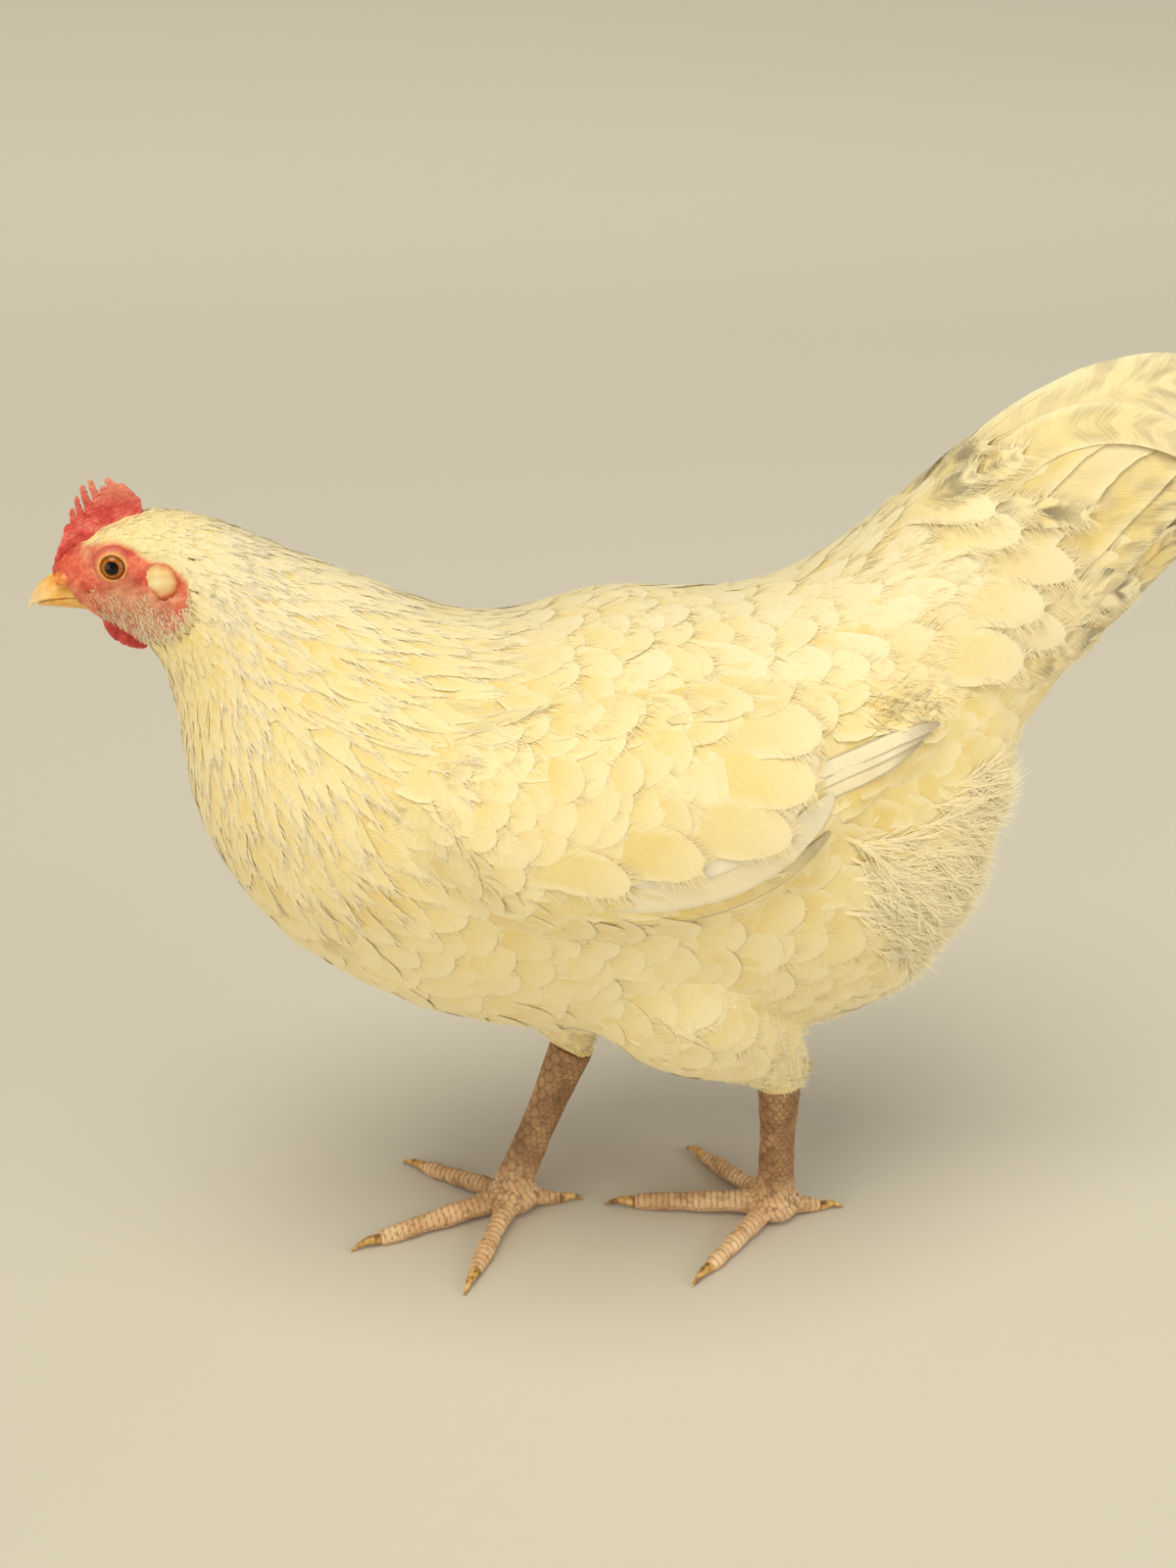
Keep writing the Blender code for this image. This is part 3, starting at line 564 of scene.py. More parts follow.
def vanes(roots, traits, rows, columns, seed, tip_height=0.0, camber=0.12, root_depth=None,
          spread=0.3, path=None, wander=0.07, rim_mark=0.0, tilt=0.0):
    """The points of many feathers and what their material needs to know."""
    rng = np.random.default_rng(seed)
    count = len(roots)
    lengths = traits[:, LENGTH] * rng.uniform(0.85, 1.12, count)
    widths = traits[:, WIDTH] * rng.uniform(0.88, 1.1, count) / 2
    loose, pointed = traits[:, LOOSE], traits[:, POINTED]
    turn = rng.normal(0, wander * (1 + loose), count)
    spine, ups = path or marched(roots, lengths, traits[:, STIFF], rows, turn)
    tangent = unit(np.gradient(spine, axis=1))
    across = unit(np.cross(tangent, ups))
    # the even march becomes rows that crowd towards the tip
    u = 1 - (1 - np.linspace(0, 1, rows)) ** 1.7
    v = np.linspace(-1, 1, columns)
    even = np.linspace(0, 1, rows)
    low = np.clip(np.searchsorted(even, u) - 1, 0, rows - 2)
    part = ((u - even[low]) * (rows - 1))[None, :, None]
    spine, ups, across, tangent = (x[:, low] * (1 - part) + x[:, low + 1] * part
                                   for x in (spine, ups, across, tangent))
    # a broad vane with a round end, or a lance, and its edges fray
    rounding = np.sqrt(np.clip(1 - (np.clip(u - 0.55, 0, 1) / 0.45) ** 2.1, 0, 1))
    full = np.minimum(1, (u / 0.22) ** 0.7) * rounding
    lance = np.minimum(1, (u / 0.3) ** 0.7) * (1 - np.clip((u - 0.25) / 0.75, 0, 1) ** 1.5)
    shape = full[None] * (1 - pointed[:, None]) + lance[None] * pointed[:, None]
    shape = np.maximum(shape, 0.02) * widths[:, None]
    ragged = (0.01 + 0.03 * loose)[:, None, None]
    fray = 1 + ragged * rng.normal(size=(count, rows, 2)) * (u > 0.3)[None, :, None]
    left_half = v[None, None, :] < 0
    side = np.where(left_half, fray[:, :, :1], fray[:, :, 1:])
    reach = shape[:, :, None] * v[None, None, :] * np.where(np.abs(v) > 0.9, side, 1.0)
    # each half droops to the body, and the root lies deep under the neighbours
    droop = np.zeros((count, rows, 2))
    for k, sign in enumerate((-1, 1)):
        edge = spine + across * (sign * shape * MM)[:, :, None]
        on, up = outline.nearest(edge)
        droop[:, :, k] = np.clip(((edge - on) * up).sum(2) / MM * 0.85, -3, 6)
    sag = np.where(left_half, droop[:, :, :1], droop[:, :, 1:]) * (v ** 2)[None, None, :]
    depth = coat_depth(body_mm(roots)) if root_depth is None else root_depth
    offset = rng.uniform(-spread, spread, count)
    lift = rng.uniform(0, 1, count) ** 3 * loose * 1.2
    slope = np.minimum(depth * 0.2, 0.016 * lengths)
    height = (-(depth - slope)[:, None] * (1 - u[None]) ** 4 * 0.92 - slope[:, None] * (1 - u[None])
              + (tip_height - 0.3) * u[None] + offset[:, None] * u[None] + lift[:, None] * u[None] ** 3)
    roll = rng.normal(0, 0.005 if path else 0.03, count) + tilt
    rise = (height[:, :, None] - sag - camber * shape[:, :, None] * (v ** 2)[None, None, :]
            + roll[:, None, None] * reach)
    slip = (rng.normal(size=(count, rows, columns)) * (0.01 * loose)[:, None, None]
            * shape[:, :, None] * (u > 0.6)[None, :, None])
    points = (spine[:, :, None] + across[:, :, None] * (reach * MM)[..., None]
              + ups[:, :, None] * (rise * MM)[..., None] + tangent[:, :, None] * (slip * MM)[..., None])

    def spread_out(*layers):
        """These layers, each stretched over every point of every vane."""
        return np.stack([np.broadcast_to(x, reach.shape) for x in layers], 3)

    tone = rng.random(count)[:, None, None]
    return {"places": points, "ups": ups, "roots": roots, "marks": np.zeros((count, 3)), "loose": loose,
            "measures": spread_out((u[None, :] * lengths[:, None])[:, :, None], reach, tone),
            "shares": spread_out(u[None, :, None], v[None, None, :], rim_mark)}


def fringe(batch, number, length, seed, first=0.42, lean=(0.35, 0.75), lift=0.0, white=0.0):
    """Loose barb ends that stand out past the edge of each vane of a batch."""
    places = batch["places"]
    rng = np.random.default_rng(seed)
    count, rows, columns = places.shape[:3]
    owner = np.repeat(np.arange(count), number)
    total = len(owner)
    where = rng.uniform(first, 0.97, total) * (rows - 1)
    low = np.clip(where.astype(int), 1, rows - 2)
    part = (where - low)[:, None]
    edge = np.where(rng.random(total) < 0.5, 0, columns - 1)
    middle = columns // 2

    def at_row(values, column):
        """The values beside each strand's root, in this column of its vane."""
        return values[owner, low, column] * (1 - part) + values[owner, low + 1, column] * part

    side, spine = at_row(places, edge), at_row(places, middle)
    ahead = unit(places[owner, np.minimum(low + 1, rows - 1), middle] - places[owner, low - 1, middle])
    row = np.minimum(low, rows - 3)
    out = unit(places[owner, row, edge] - places[owner, row, middle])
    up = np.cross(ahead, out) * np.where(edge == 0, -1, 1)[:, None]
    lean = rng.uniform(*lean, total)[:, None]
    raised = (rng.normal(0.0, 0.06, total) + rng.random(total) * lift)[:, None]
    way = unit(ahead * (1 - lean) + out * lean + up * raised)
    size = (rng.uniform(0.4, 1.2, total) * length * (0.5 + batch["loose"][owner]))[:, None] * MM
    start = spine + (side - spine) * rng.uniform(0.55, 0.85, total)[:, None] + up * 0.08 * MM
    bend = (ahead * 0.35 - up * 0.10) * size
    thick = np.cross(way, up)
    strands = []
    for t, wide in ((0.0, 0.17), (0.55, 0.13), (1.0, 0.03)):
        centre = start + way * size * t + bend * t * t
        strands.append(np.stack([centre - thick * wide * MM, centre + thick * wide * MM], 1))
    measures, shares = (np.stack([at_row(batch[key], edge)] * 3, 1)[:, :, None].repeat(2, 2)
                        for key in ("measures", "shares"))
    marks = batch["marks"][owner] * 0.3
    marks[:, 0] -= white
    return {"places": np.stack(strands, 1), "measures": measures, "shares": shares, "marks": marks,
            "ups": np.repeat(batch["ups"][owner, low][:, None], 3, axis=1), "roots": batch["roots"][owner]}


def coat_piece(name, batches, slot="plumage", softness=0.55):
    """One piece of coat from batches of feathers or of single barbs."""
    kept = {key: [] for key in ("places", "over", "measures", "shares", "marks", "maps", "faces")}
    start = 0
    for batch in batches:
        places, share = batch["places"], batch["shares"]
        count, rows, columns = places.shape[:3]
        one = vane_grid(rows, columns)
        corners = places.reshape(count, -1, 3)[:, one[:, :3]]
        facing = np.cross(corners[:, :, 1] - corners[:, :, 0], corners[:, :, 2] - corners[:, :, 0]).sum(1)
        turned = (facing * batch["ups"].mean(1)).sum(1) < 0
        faces = np.where(turned[:, None, None], one[None, :, ::-1], one[None])
        first = np.arange(count)[:, None, None] * rows * columns + start
        kept["faces"].append((faces + first).reshape(-1, 4))
        start += count * rows * columns
        for key in ("places", "measures", "shares"):
            kept[key].append(batch[key].reshape(-1, 3))
        kept["over"].append(np.repeat(batch["ups"][:, :, None], columns, axis=2).reshape(-1, 3))
        kept["marks"].append(np.repeat(batch["marks"], rows * columns, axis=0))
        centre = patch_centres(batch["roots"])[:, None, None, :]
        patch = np.stack([share[..., 0] - 0.5, share[..., 1] * 0.5], 3) * PATCH
        kept["maps"].append((centre + patch).reshape(-1, 2))
    kept = {key: np.concatenate(values) for key, values in kept.items()}
    faces = kept["faces"]
    mesh = bpy.data.meshes.new(name)
    mesh.vertices.add(start)
    mesh.vertices.foreach_set("co", kept["places"].astype(np.float32).ravel())
    mesh.loops.add(faces.size)
    mesh.loops.foreach_set("vertex_index", faces.astype(np.int32).ravel())
    mesh.polygons.add(len(faces))
    mesh.polygons.foreach_set("loop_start", np.arange(0, faces.size, 4, dtype=np.int32))
    mesh.update(calc_edges=True)
    layer = mesh.uv_layers.new(name="OFBake")
    layer.data.foreach_set("uv", np.clip(kept["maps"][faces.ravel()], 0, 1).astype(np.float32).ravel())
    for title, key in (("vane_mm", "measures"), ("vane", "shares"), ("marks", "marks")):
        carry(mesh, title, kept[key], "FLOAT_VECTOR", "vector")
    mesh.shade_smooth()
    # light passes through feathers, so they are shaded largely as the body below them
    own = np.zeros(start * 3, np.float32)
    mesh.vertex_normals.foreach_get("vector", own)
    own = own.reshape(-1, 3)
    own *= np.where((own * kept["over"]).sum(1, keepdims=True) < 0, -1, 1)
    mesh.normals_split_custom_set_from_vertices(unit(own * (1 - softness) + kept["over"] * softness).tolist())
    mesh.materials.append(feather)
    return fitted(linked(name, mesh), slot)


# The feather itself is keratin in fine parallel barbs: matt with a silky sheen
# along them, cream with a warmer yellow ground and pale, almost white fringes,
# painted paler still as painted light against the shade between feathers. Each
# feather is also painted darker towards its root, as painted shade.
# Barbs are 0.3 mm apart, drawn 1.1 mm apart so that they show.
feather, tree, shader = new_material("cream_feather_keratin")
(run, reach, tone), (to_tip, to_rim, rim_mark), (grey, dark, mottled) = (
    add(tree, "SeparateXYZ", {0: add(tree, "Attribute", attribute_name=name)["Vector"]})
    for name in ("vane_mm", "vane", "marks"))
side = add(tree, "Math", {0: reach}, operation="ABSOLUTE")[0]
from_shaft = add(tree, "Math", {0: to_rim}, operation="ABSOLUTE")[0]
barb_across = add(tree, "Math", {0: run, 1: side}, operation="SUBTRACT")[0]
barb_along = add(tree, "Math", {0: run, 1: side}, operation="ADD")[0]
# fine barbs, and broad bars that break up along them: waves for each mm across
# and along the barb, and how far one feather's pattern lies from the next
patterns = []
for along, (fine, coarse, apart), detail, rough in ((barb_along, (1.5, 0.06, 83.0), 2.0, 0.6),
                                                    (side, (0.11, 0.12, 57.0), 1.5, 0.5)):
    spread = [add(tree, "Math", {0: value, 1: scale}, operation="MULTIPLY")[0]
              for value, scale in ((barb_across, fine), (along, coarse), (tone, apart))]
    spot_place = add(tree, "CombineXYZ", dict(enumerate(spread)))[0]
    patterns.append(add(tree, "TexNoise", {"Vector": spot_place, "Scale": 1.0, "Detail": detail,
                                           "Roughness": rough})["Fac"])
barbs, bar_cloud = patterns
body_place = add(tree, "TexCoord")["Object"]
cloud = add(tree, "TexNoise", {"Vector": body_place, "Scale": 22.0, "Detail": 3.0})["Fac"]
smudge = add(tree, "TexNoise", {"Vector": body_place, "Scale": 90.0, "Detail": 2.0})["Fac"]
smudge = add(tree, "ValToRGB", {0: smudge}, [(0.40, "5A5A5A"), (0.66, "FFFFFF")])[0]
rim = add(tree, "Math", {0: from_shaft, 1: to_tip}, operation="MAXIMUM")[0]
dark_rim = add(tree, "ValToRGB", {0: rim}, [(0.72, "000000"), (0.95, "FFFFFF")])[0]
frayed = add(tree, "Math", {0: barbs, 1: 0.45}, operation="MULTIPLY")[0]
broken = add(tree, "Math", {0: bar_cloud, 1: frayed}, operation="ADD")[0]
speck_end = add(tree, "ValToRGB", {0: to_tip}, [(0.45, "000000"), (0.70, "FFFFFF"), (0.98, "909090")])[0]
speck = add(tree, "ValToRGB", {0: broken}, [(0.60, "000000"), (0.76, "FFFFFF")])[0]
speck = add(tree, "Math", {0: speck_end, 1: speck}, operation="MULTIPLY")[0]
outward = add(tree, "Math", {0: from_shaft, 1: 0.2}, operation="MULTIPLY")[0]
outward = add(tree, "Math", {0: outward, 1: to_tip}, operation="ADD")[0]
bar_end = add(tree, "ValToRGB", {0: outward}, [(0.28, "000000"), (0.68, "FFFFFF")])[0]
bars = add(tree, "ValToRGB", {0: broken}, [(0.66, "000000"), (0.90, "FFFFFF")])[0]
bars = add(tree, "Math", {0: bars, 1: bar_end}, operation="MULTIPLY")[0]
# painted shade: each feather is darker towards its root, where the feathers above it cast shade
shade = add(tree, "ValToRGB", {0: to_tip}, [(0.0, "808080"), (0.30, "3A3A3A"), (0.52, "000000")])[0]
ground = add(tree, "ValToRGB", {0: cloud}, [(0.35, "F3E4A4"), (0.52, "F1DC93"), (0.68, "ECD27F")])[0]
own = add(tree, "ValToRGB", {0: tone}, [(0.0, "F8EDBC"), (0.5, "F2DF9C"), (1.0, "EED485")])[0]
colour = add(tree, "Mix", {0: 0.45, 6: ground, 7: own}, data_type="RGBA")[2]
for mask, code in (
        (add(tree, "ValToRGB", {0: barbs}, [(0.38, "000000"), (0.70, "8A8A8A")])[0], "E2C27A"),
        # the fringes: partly their own pale colour, partly painted light against the shade between feathers
        (add(tree, "ValToRGB", {0: rim}, [(0.55, "000000"), (0.95, "B4B4B4")])[0], "FFF6D4"),
        (shade, "CDAE64"),
        (add(tree, "Math", {0: grey, 1: smudge}, operation="MULTIPLY", use_clamp=True)[0], "DCD0AE"),
        (add(tree, "Math", {0: grey, 1: -1.0}, operation="MULTIPLY", use_clamp=True)[0], "F6EED6"),
        (add(tree, "Math", {0: dark_rim, 1: rim_mark}, operation="MULTIPLY")[0], "7C6A4C"),
        (add(tree, "Math", {0: dark, 1: speck}, operation="MULTIPLY")[0], "7A6A4E"),
        (add(tree, "Math", {0: bars, 1: mottled}, operation="MULTIPLY")[0], "94866C")):
    colour = add(tree, "Mix", {0: mask, 6: colour, 7: srgb(code)}, data_type="RGBA")[2]
finish(tree, shader, colour, barbs, 0.5, 0.0006, {
    "Roughness": 0.62, "Sheen Weight": 0.25, "Sheen Roughness": 0.4})

# ---------------------------------------------------------------- body feathers
# Every tract of small body feathers: face and crown, hackle, breast, back,
# saddle, wing coverts, flanks and rear, each one laid like tiles on the next.

# z, and the x behind which the tail's own feathers start there, in mm
TAIL_START = np.array([(200, 152), (230, 130), (250, 124), (268, 136), (280, 132), (292, 110),
                       (315, 104), (330, 90), (350, 84), (372, 84)], float)
# (x, z) corners of the part of the folded wing that its quill feathers fill
QUILL_GAP = np.array([(-60, 198), (-30, 192), (-12, 190), (1, 190), (13, 193), (22, 197), (30, 203),
                      (38, 208), (44, 212), (50, 219), (51, 228), (61, 231), (74, 236), (82, 242),
                      (92, 250), (84, 258), (68, 258), (58, 248), (46, 246), (40, 250), (34, 248),
                      (35, 238), (30, 231), (25, 226), (24, 218), (11, 216), (-5, 213), (-25, 209),
                      (-60, 206)], float)
HACKLE_HEM = np.array([(-93, 278), (-107, 261), (-119, 240), (-130, 218), (-145, 205)], float)
BARRED = np.array([(112, 322), (104, 332), (128, 300), (158, 262), (148, 244), (140, 282), (150, 268)], float)
# (columns, camber, fringe strands, their length, lean, lift and whiteness) of each section
MAKE = {"head_feathers": (3, 0.05, 8, 2.2, (0.1, 0.4), 0.1, 0.1),
        # the hackle's barb ends are whiter: partly their own pale colour, partly painted light that brightens
        # the shaded slits between its feathers
        "hackle": (5, 0.05, 20, 4.5, (0.08, 0.3), 0.1, 0.7),
        "breast_feathers": (5, 0.04, 60, 5.0, (0.3, 0.7), 0.35, 0.35),
        "back_feathers": (5, 0.04, 56, 5.0, (0.2, 0.6), 0.1, 0.1),
        "wing_coverts": (5, 0.05, 56, 4.0, (0.3, 0.7), 0.1, 0.1),
        "saddle_feathers": (5, 0.05, 70, 6.5, (0.15, 0.5), 0.1, 0.1),
        "rear_feathers": (5, 0.10, 110, 8.0, (0.25, 0.65), 0.35, 0.35)}


def fading(mm, start, middle, reach, most=1.0):
    """A mark that fades from its middle to an edge at this reach in mm, 0 to most."""
    return np.clip(start - np.linalg.norm((mm - middle) / np.array(reach), axis=1), 0, most)


def from_spots(mm, spots):
    """Distance in mm from the nearest of these (x, z) spots, in side view."""
    return np.min(np.linalg.norm(mm[:, None, [0, 2]] - spots[None], axis=2), axis=1)


def coat_marks(mm, seed):
    """(grey smudge, dark speck, brown bars) of the feathers rooted at these places."""
    rng = np.random.default_rng(seed)
    count = len(mm)
    grey = fading(mm, 1, (-25, 0, 280), (75, 90, 22))
    crown = np.clip(1.2 - np.abs(mm[:, 0] + 160) / 30, 0, 1) * (mm[:, 2] > 302)
    hem = np.clip(1.2 - from_spots(mm, HACKLE_HEM) / 14, 0, 1)
    fleck = (rng.random(count) < 0.13) * rng.uniform(0.2, 0.7, count)
    bars = np.clip(1.3 - from_spots(mm, BARRED) / 12, 0, 1) * (rng.random(count) < 0.6)
    curl = fading(mm[:, [0, 2]], 1, (48, 256), (12, 12)) * 0.8
    # painted highlight: the top of the back and the top of the neck are painted paler, where the light from
    # above falls strongest
    pale = fading(mm, 1.3, (20, 0, 292), (110, 70, 26), 0.4)
    pale += fading(mm, 1.2, (-140, 0, 312), (45, 60, 20), 0.4)
    return np.stack([np.clip(grey * 0.5 * (rng.random(count) < 0.5), 0, 1) - pale,
                     np.clip(crown + hem, 0, 1) * fleck, np.clip(bars + curl, 0, 1)], 1)


def feathered(mm):
    """Where body feathers are rooted: not on the face, heels or far tail."""
    mouth = (mm[:, 0] < -205) & (mm[:, 2] < 312)
    comb = (np.abs(mm[:, 1]) < 2.2) & (mm[:, 0] < -187) & (mm[:, 2] > 308)
    tail = mm[:, 0] > np.interp(mm[:, 2], TAIL_START[:, 0], TAIL_START[:, 1])
    return (bare(mm) < 0.35) & ~mouth & ~comb & ~tail & (mm[:, 2] > 84)


def over_quills(mm):
    """Feathers of the wing's side that would lie over its quill feathers."""
    way, traits = tract(mm)
    hidden = np.zeros(len(mm), bool)
    for share in (0.0, 0.3, 0.6, 0.85, 1.0):
        spots = mm + way * traits[:, :1] * share
        hidden |= inside(spots[:, [0, 2]], QUILL_GAP) > -4
    return hidden & (np.abs(mm[:, 1]) > 55)


def room(mm):
    """The spacing of the tract, closer on the head."""
    return tract(mm)[1][:, SPACING] * np.interp(from_head(mm), [25, 50], [0.78, 1.0])


roots = scattered(room, feathered, 11, 180000)
roots = roots[~over_quills(body_mm(roots))]
root_mm = body_mm(roots)
traits = tract(root_mm)[1]
x, y, z = root_mm.T
left = y < 0
head = (x < -168) & (z > 262)
neck = ~head & (traits[:, POINTED] > 0.45) & (x < -60)
wing = ~head & ~neck & (np.abs(y) > 60) & (x > -100) & (x < 75) & (z > 185)
free = ~(head | neck | wing)
breast = free & (x < 0) & (z < 250)
back = free & ~breast & (x < 30)
behind = free & ~breast & ~back
rear = behind & (z <= 232)
sections = {"head_feathers": head, "hackle_left": neck & left, "hackle_right": neck & ~left,
            "wing_coverts_left": wing & left, "wing_coverts_right": wing & ~left,
            "back_feathers": back, "saddle_feathers": behind & ~rear,
            "breast_feathers_left": breast & left, "rear_feathers_left": rear & left,
            "breast_feathers_right": breast & ~left, "rear_feathers_right": rear & ~left}
for number, (name, chosen) in enumerate(sections.items()):
    kind = name.removesuffix("_left").removesuffix("_right")
    columns, camber, strands, length, lean, lift, white = MAKE[kind]
    batch = vanes(roots[chosen], traits[chosen], 11, columns, 100 + number, camber=camber, spread=0.12)
    batch["marks"] = coat_marks(root_mm[chosen], 200 + number)
    coat_piece(name, [batch, fringe(batch, strands, length, 400 + number, lean=lean, lift=lift, white=white)])

# ---------------------------------------------------------------- under plumage
# Plain broad feathers close to the body close the gaps between those above. They
# are smallest round the face, and under the tail they lie deeper and are whiter.
UNDER_AT = [14, 30, 50, 80]
UNDER_SPACING = [2.4, 3.2, 5.5, 8.6]
UNDER_LENGTH = [6.5, 9, 16, 26]
UNDER_WIDTH = [4.5, 6.5, 13, 21]
UNDER_SINK = [0.15, 0.25, 0.4, 0.6]
UNDER_DEPTH = [0.5, 0.9, 1.5, 2.0]


def under(mm):
    """All the coat but the face, the comb's foot, the tail's ridge and the heels."""
    comb = (np.abs(mm[:, 1]) < 3.5) & (mm[:, 0] < -185) & (mm[:, 2] > 306)
    ridge = (np.abs(mm[:, 1]) < 13) & (mm[:, 0] > 122) & (mm[:, 0] < 215) & (mm[:, 2] > 315)
    return (from_head(mm) > 14) & (bare(mm) < 0.1) & ~comb & ~ridge & (mm[:, 0] > -208) & (mm[:, 2] > 98)


under_roots = scattered(lambda mm: np.interp(from_head(mm), UNDER_AT, UNDER_SPACING), under, 61, 90000)
under_mm = body_mm(under_roots)
reach = from_head(under_mm)
in_tail = np.clip((under_mm[:, 0] - 120) / 25, 0, 1)
broad = np.tile([26.0, 21.0, 9.0, 0.1, 0.0, 0.1], (len(under_roots), 1))
broad[:, LENGTH] = np.interp(reach, UNDER_AT, UNDER_LENGTH)
broad[:, WIDTH] = np.interp(reach, UNDER_AT, UNDER_WIDTH)
sink = np.interp(reach, UNDER_AT, UNDER_SINK)
batch = vanes(under_roots, broad, 6, 3, 62, tip_height=(-sink - 0.9 * in_tail)[:, None], camber=0.02,
              spread=0.05, root_depth=np.interp(reach, UNDER_AT, UNDER_DEPTH) + in_tail)
batch["marks"] = in_tail[:, None] * np.array([-0.3, 0, 0])
coat_piece("under_plumage", [batch])

# ---------------------------------------------------------------- cheek bristles
# The cheeks carry sparse bristles: hair-like whitish feathers over the red skin,
# each a bare shaft. A ring round the eye, the brow and the lores have none.
BRISTLED = np.array([(-210, 301), (-204, 307), (-201, 317), (-206, 319), (-199, 321.5), (-190, 320.5),
                     (-182, 315), (-184, 309), (-185, 301), (-176, 299.5), (-172.5, 304), (-170.5, 303),
                     (-171.5, 296), (-178, 288.5), (-184, 286.5), (-192, 284.5), (-202, 290), (-209, 296)])
BARE_RING = 7.2


def bristled(mm):
    """Where bristles are rooted."""
    eye_gap = np.hypot(mm[:, 0] + 195.3, mm[:, 2] - 312.9)
    return (inside(mm[:, [0, 2]], BRISTLED) > 0) & (np.abs(mm[:, 1]) > 4) & (eye_gap > BARE_RING)


def bristle_spacing(mm):
    """Room in mm round each bristle: they thin out towards the brow."""
    return np.interp(mm[:, 2], [292, 303, 310, 318], [0.58, 0.68, 0.95, 1.1])


bristle_roots = scattered(bristle_spacing, bristled, 51, -26000)
few = np.tile([2.6, 0.34, 1, 1.0, 0.3, 0.6], (len(bristle_roots), 1))
few[:, LENGTH] = np.interp(body_mm(bristle_roots)[:, 2], [290, 300, 312], [3.8, 3.0, 2.0])
batch = vanes(bristle_roots, few, 4, 2, 52, tip_height=0.9, wander=0.35,
              root_depth=np.full(len(few), 0.3), spread=0.2)
batch["marks"][:, 0] = -0.6
coat_piece("cheek_bristles", [batch], softness=0.8)

# ---------------------------------------------------------------- quill feathers
# The large feathers of tail and wing: stiff flat vanes on a strong shaft. In the
# tail they are mottled grey-brown towards the tip, and they fold like a tent.
def soften(line, rounds):
    """Smooths a line of places in place, its ends kept."""
    for _ in range(rounds):
        line[1:-1] = (line[:-2] + line[1:-1] * 2 + line[2:]) / 4


def curve_through(corners, rows):
    """Even places along a smooth curve through these (x, z) corners."""
    corners = np.array(corners, float)
    run = np.concatenate([[0], np.cumsum(np.linalg.norm(np.diff(corners, axis=0), axis=1))])
    fine = np.linspace(0, run[-1], 200)
    line = np.stack([np.interp(fine, run, corners[:, k]) for k in range(2)], 1)
    soften(line, 30)
    return line[np.linspace(0, 199, rows).astype(int)]


def quill(corners, side, width, height, rows, columns, seed, depth, loose, mark, camber, tilt,
          pointed=0.1, rim_mark=0.0):
    """One large feather whose shaft lies over these (x, z) corners on one side."""
    spots = []
    for x, z in curve_through(corners, rows):
        hit = outline.tree.ray_cast(place(x, side * 200, z), (0, -side, 0))[0]
        spots.append(hit or outline.tree.find_nearest(place(x, side * 4, z))[0])
    on, ups = outline.nearest(np.array(spots))
    soften(on, 6)
    soften(ups, 6)
    length = np.linalg.norm(np.diff(on, axis=0), axis=1).sum() / MM
    spec = np.array([[length, width, 8, pointed, 0.5, loose]])
    batch = vanes(on[:1], spec, rows, columns, seed, tip_height=height + 0.3, camber=camber,
                  root_depth=np.array([depth]), spread=0.02, path=(on[None], unit(ups)[None]),
                  rim_mark=rim_mark, tilt=-side * tilt)
    batch["marks"] = np.array([mark], float)
    return batch


# corners (x, z) | width, height in mm, tilt | grey (white below 0), speck, mottle
RECTRICES = [
    ([(100, 315.5), (120, 330), (140, 342), (160, 351), (180, 357), (195, 359.5), (210, 359.5), (225, 357.5),
      (240, 353.5), (255, 346)], 31, 1.2, 0.0, (-0.25, 0, 0.5)),
    ([(108, 309), (124, 325), (137, 336), (148, 342.5), (166, 346.5), (180, 346), (194, 342), (206, 335),
      (214, 328)], 16, 2.7, 0.0, (-0.1, 0, 0.4)),
    ([(110, 306), (128, 321), (142, 332), (156, 343), (170, 348), (186, 344)], 24, 0.5, 0.07, (0.4, 0, 0.1)),
    ([(112, 287), (138, 312), (153, 325), (168, 338), (180, 343), (198, 342)], 26, 0.2, 0.07, (-0.3, 0, 0.1)),
    ([(118, 272), (152, 304), (169, 318), (186, 334), (202, 343), (228, 349)], 26, -0.1, 0.09,
     (0.45, 0, 0.35)),
    ([(128, 262), (152, 283), (169, 299), (189, 321), (213, 340), (244, 346)], 25, -0.5, 0.09, (0.5, 0, 0.8)),
    ([(132, 248), (160, 268), (180, 287), (200, 306), (222, 324), (236, 331)], 25, -0.9, 0.09, (0.4, 0, 0.8)),
    ([(128, 234), (155, 252), (178, 272), (196, 288), (208, 297)], 24, -1.3, 0.09, (0.1, 0, 0.8)),
]
TAIL_COVERTS = [
    ([(118, 262), (140, 278), (152, 283), (166, 285), (186, 285)], 22, 1.0, 0.03, (-0.2, 0, 1.0)),
    ([(112, 250), (130, 256), (150, 263), (172, 266)], 20, 1.2, 0.03, (-0.2, 0, 0.9)),
    ([(100, 313), (122, 316.5), (140, 316), (150, 315), (161, 314)], 13, 2.2, 0.0, (0, 1.0, 0.5)),
    ([(96, 304), (115, 312), (128, 317), (140, 318)], 14, 1.9, 0.0, (0.5, 0.2, 0.6)),
    ([(104, 318), (122, 329), (138, 335)], 13, 2.0, 0.0, (0, 0.7, 0.8)),
    ([(98, 322), (113, 331), (128, 337)], 12, 1.8, 0.0, (0, 0.6, 0.8)),
    ([(92, 312), (108, 321), (121, 328)], 13, 2.2, 0.0, (0, 0.5, 0.9)),
    ([(84, 312), (106, 318), (124, 317)], 20, 2.3, 0.03, (-0.2, 0, 0)),
    ([(88, 303), (112, 312), (133, 309)], 20, 2.0, 0.03, (-0.1, 0, 0)),
    ([(100, 300), (128, 302), (155, 294)], 21, 1.5, 0.05, (-0.25, 0, 0)),
    ([(94, 288), (118, 288), (142, 281)], 21, 1.8, 0.05, (-0.1, 0, 0)),
    ([(102, 276), (128, 277), (153, 269)], 19, 1.5, 0.05, (-0.2, 0, 0)),
    ([(86, 270), (108, 270), (132, 263)], 21, 1.9, 0.05, (-0.05, 0, 0)),
]
RIDGE_WIDTH_RIGHT = 25
batches = []
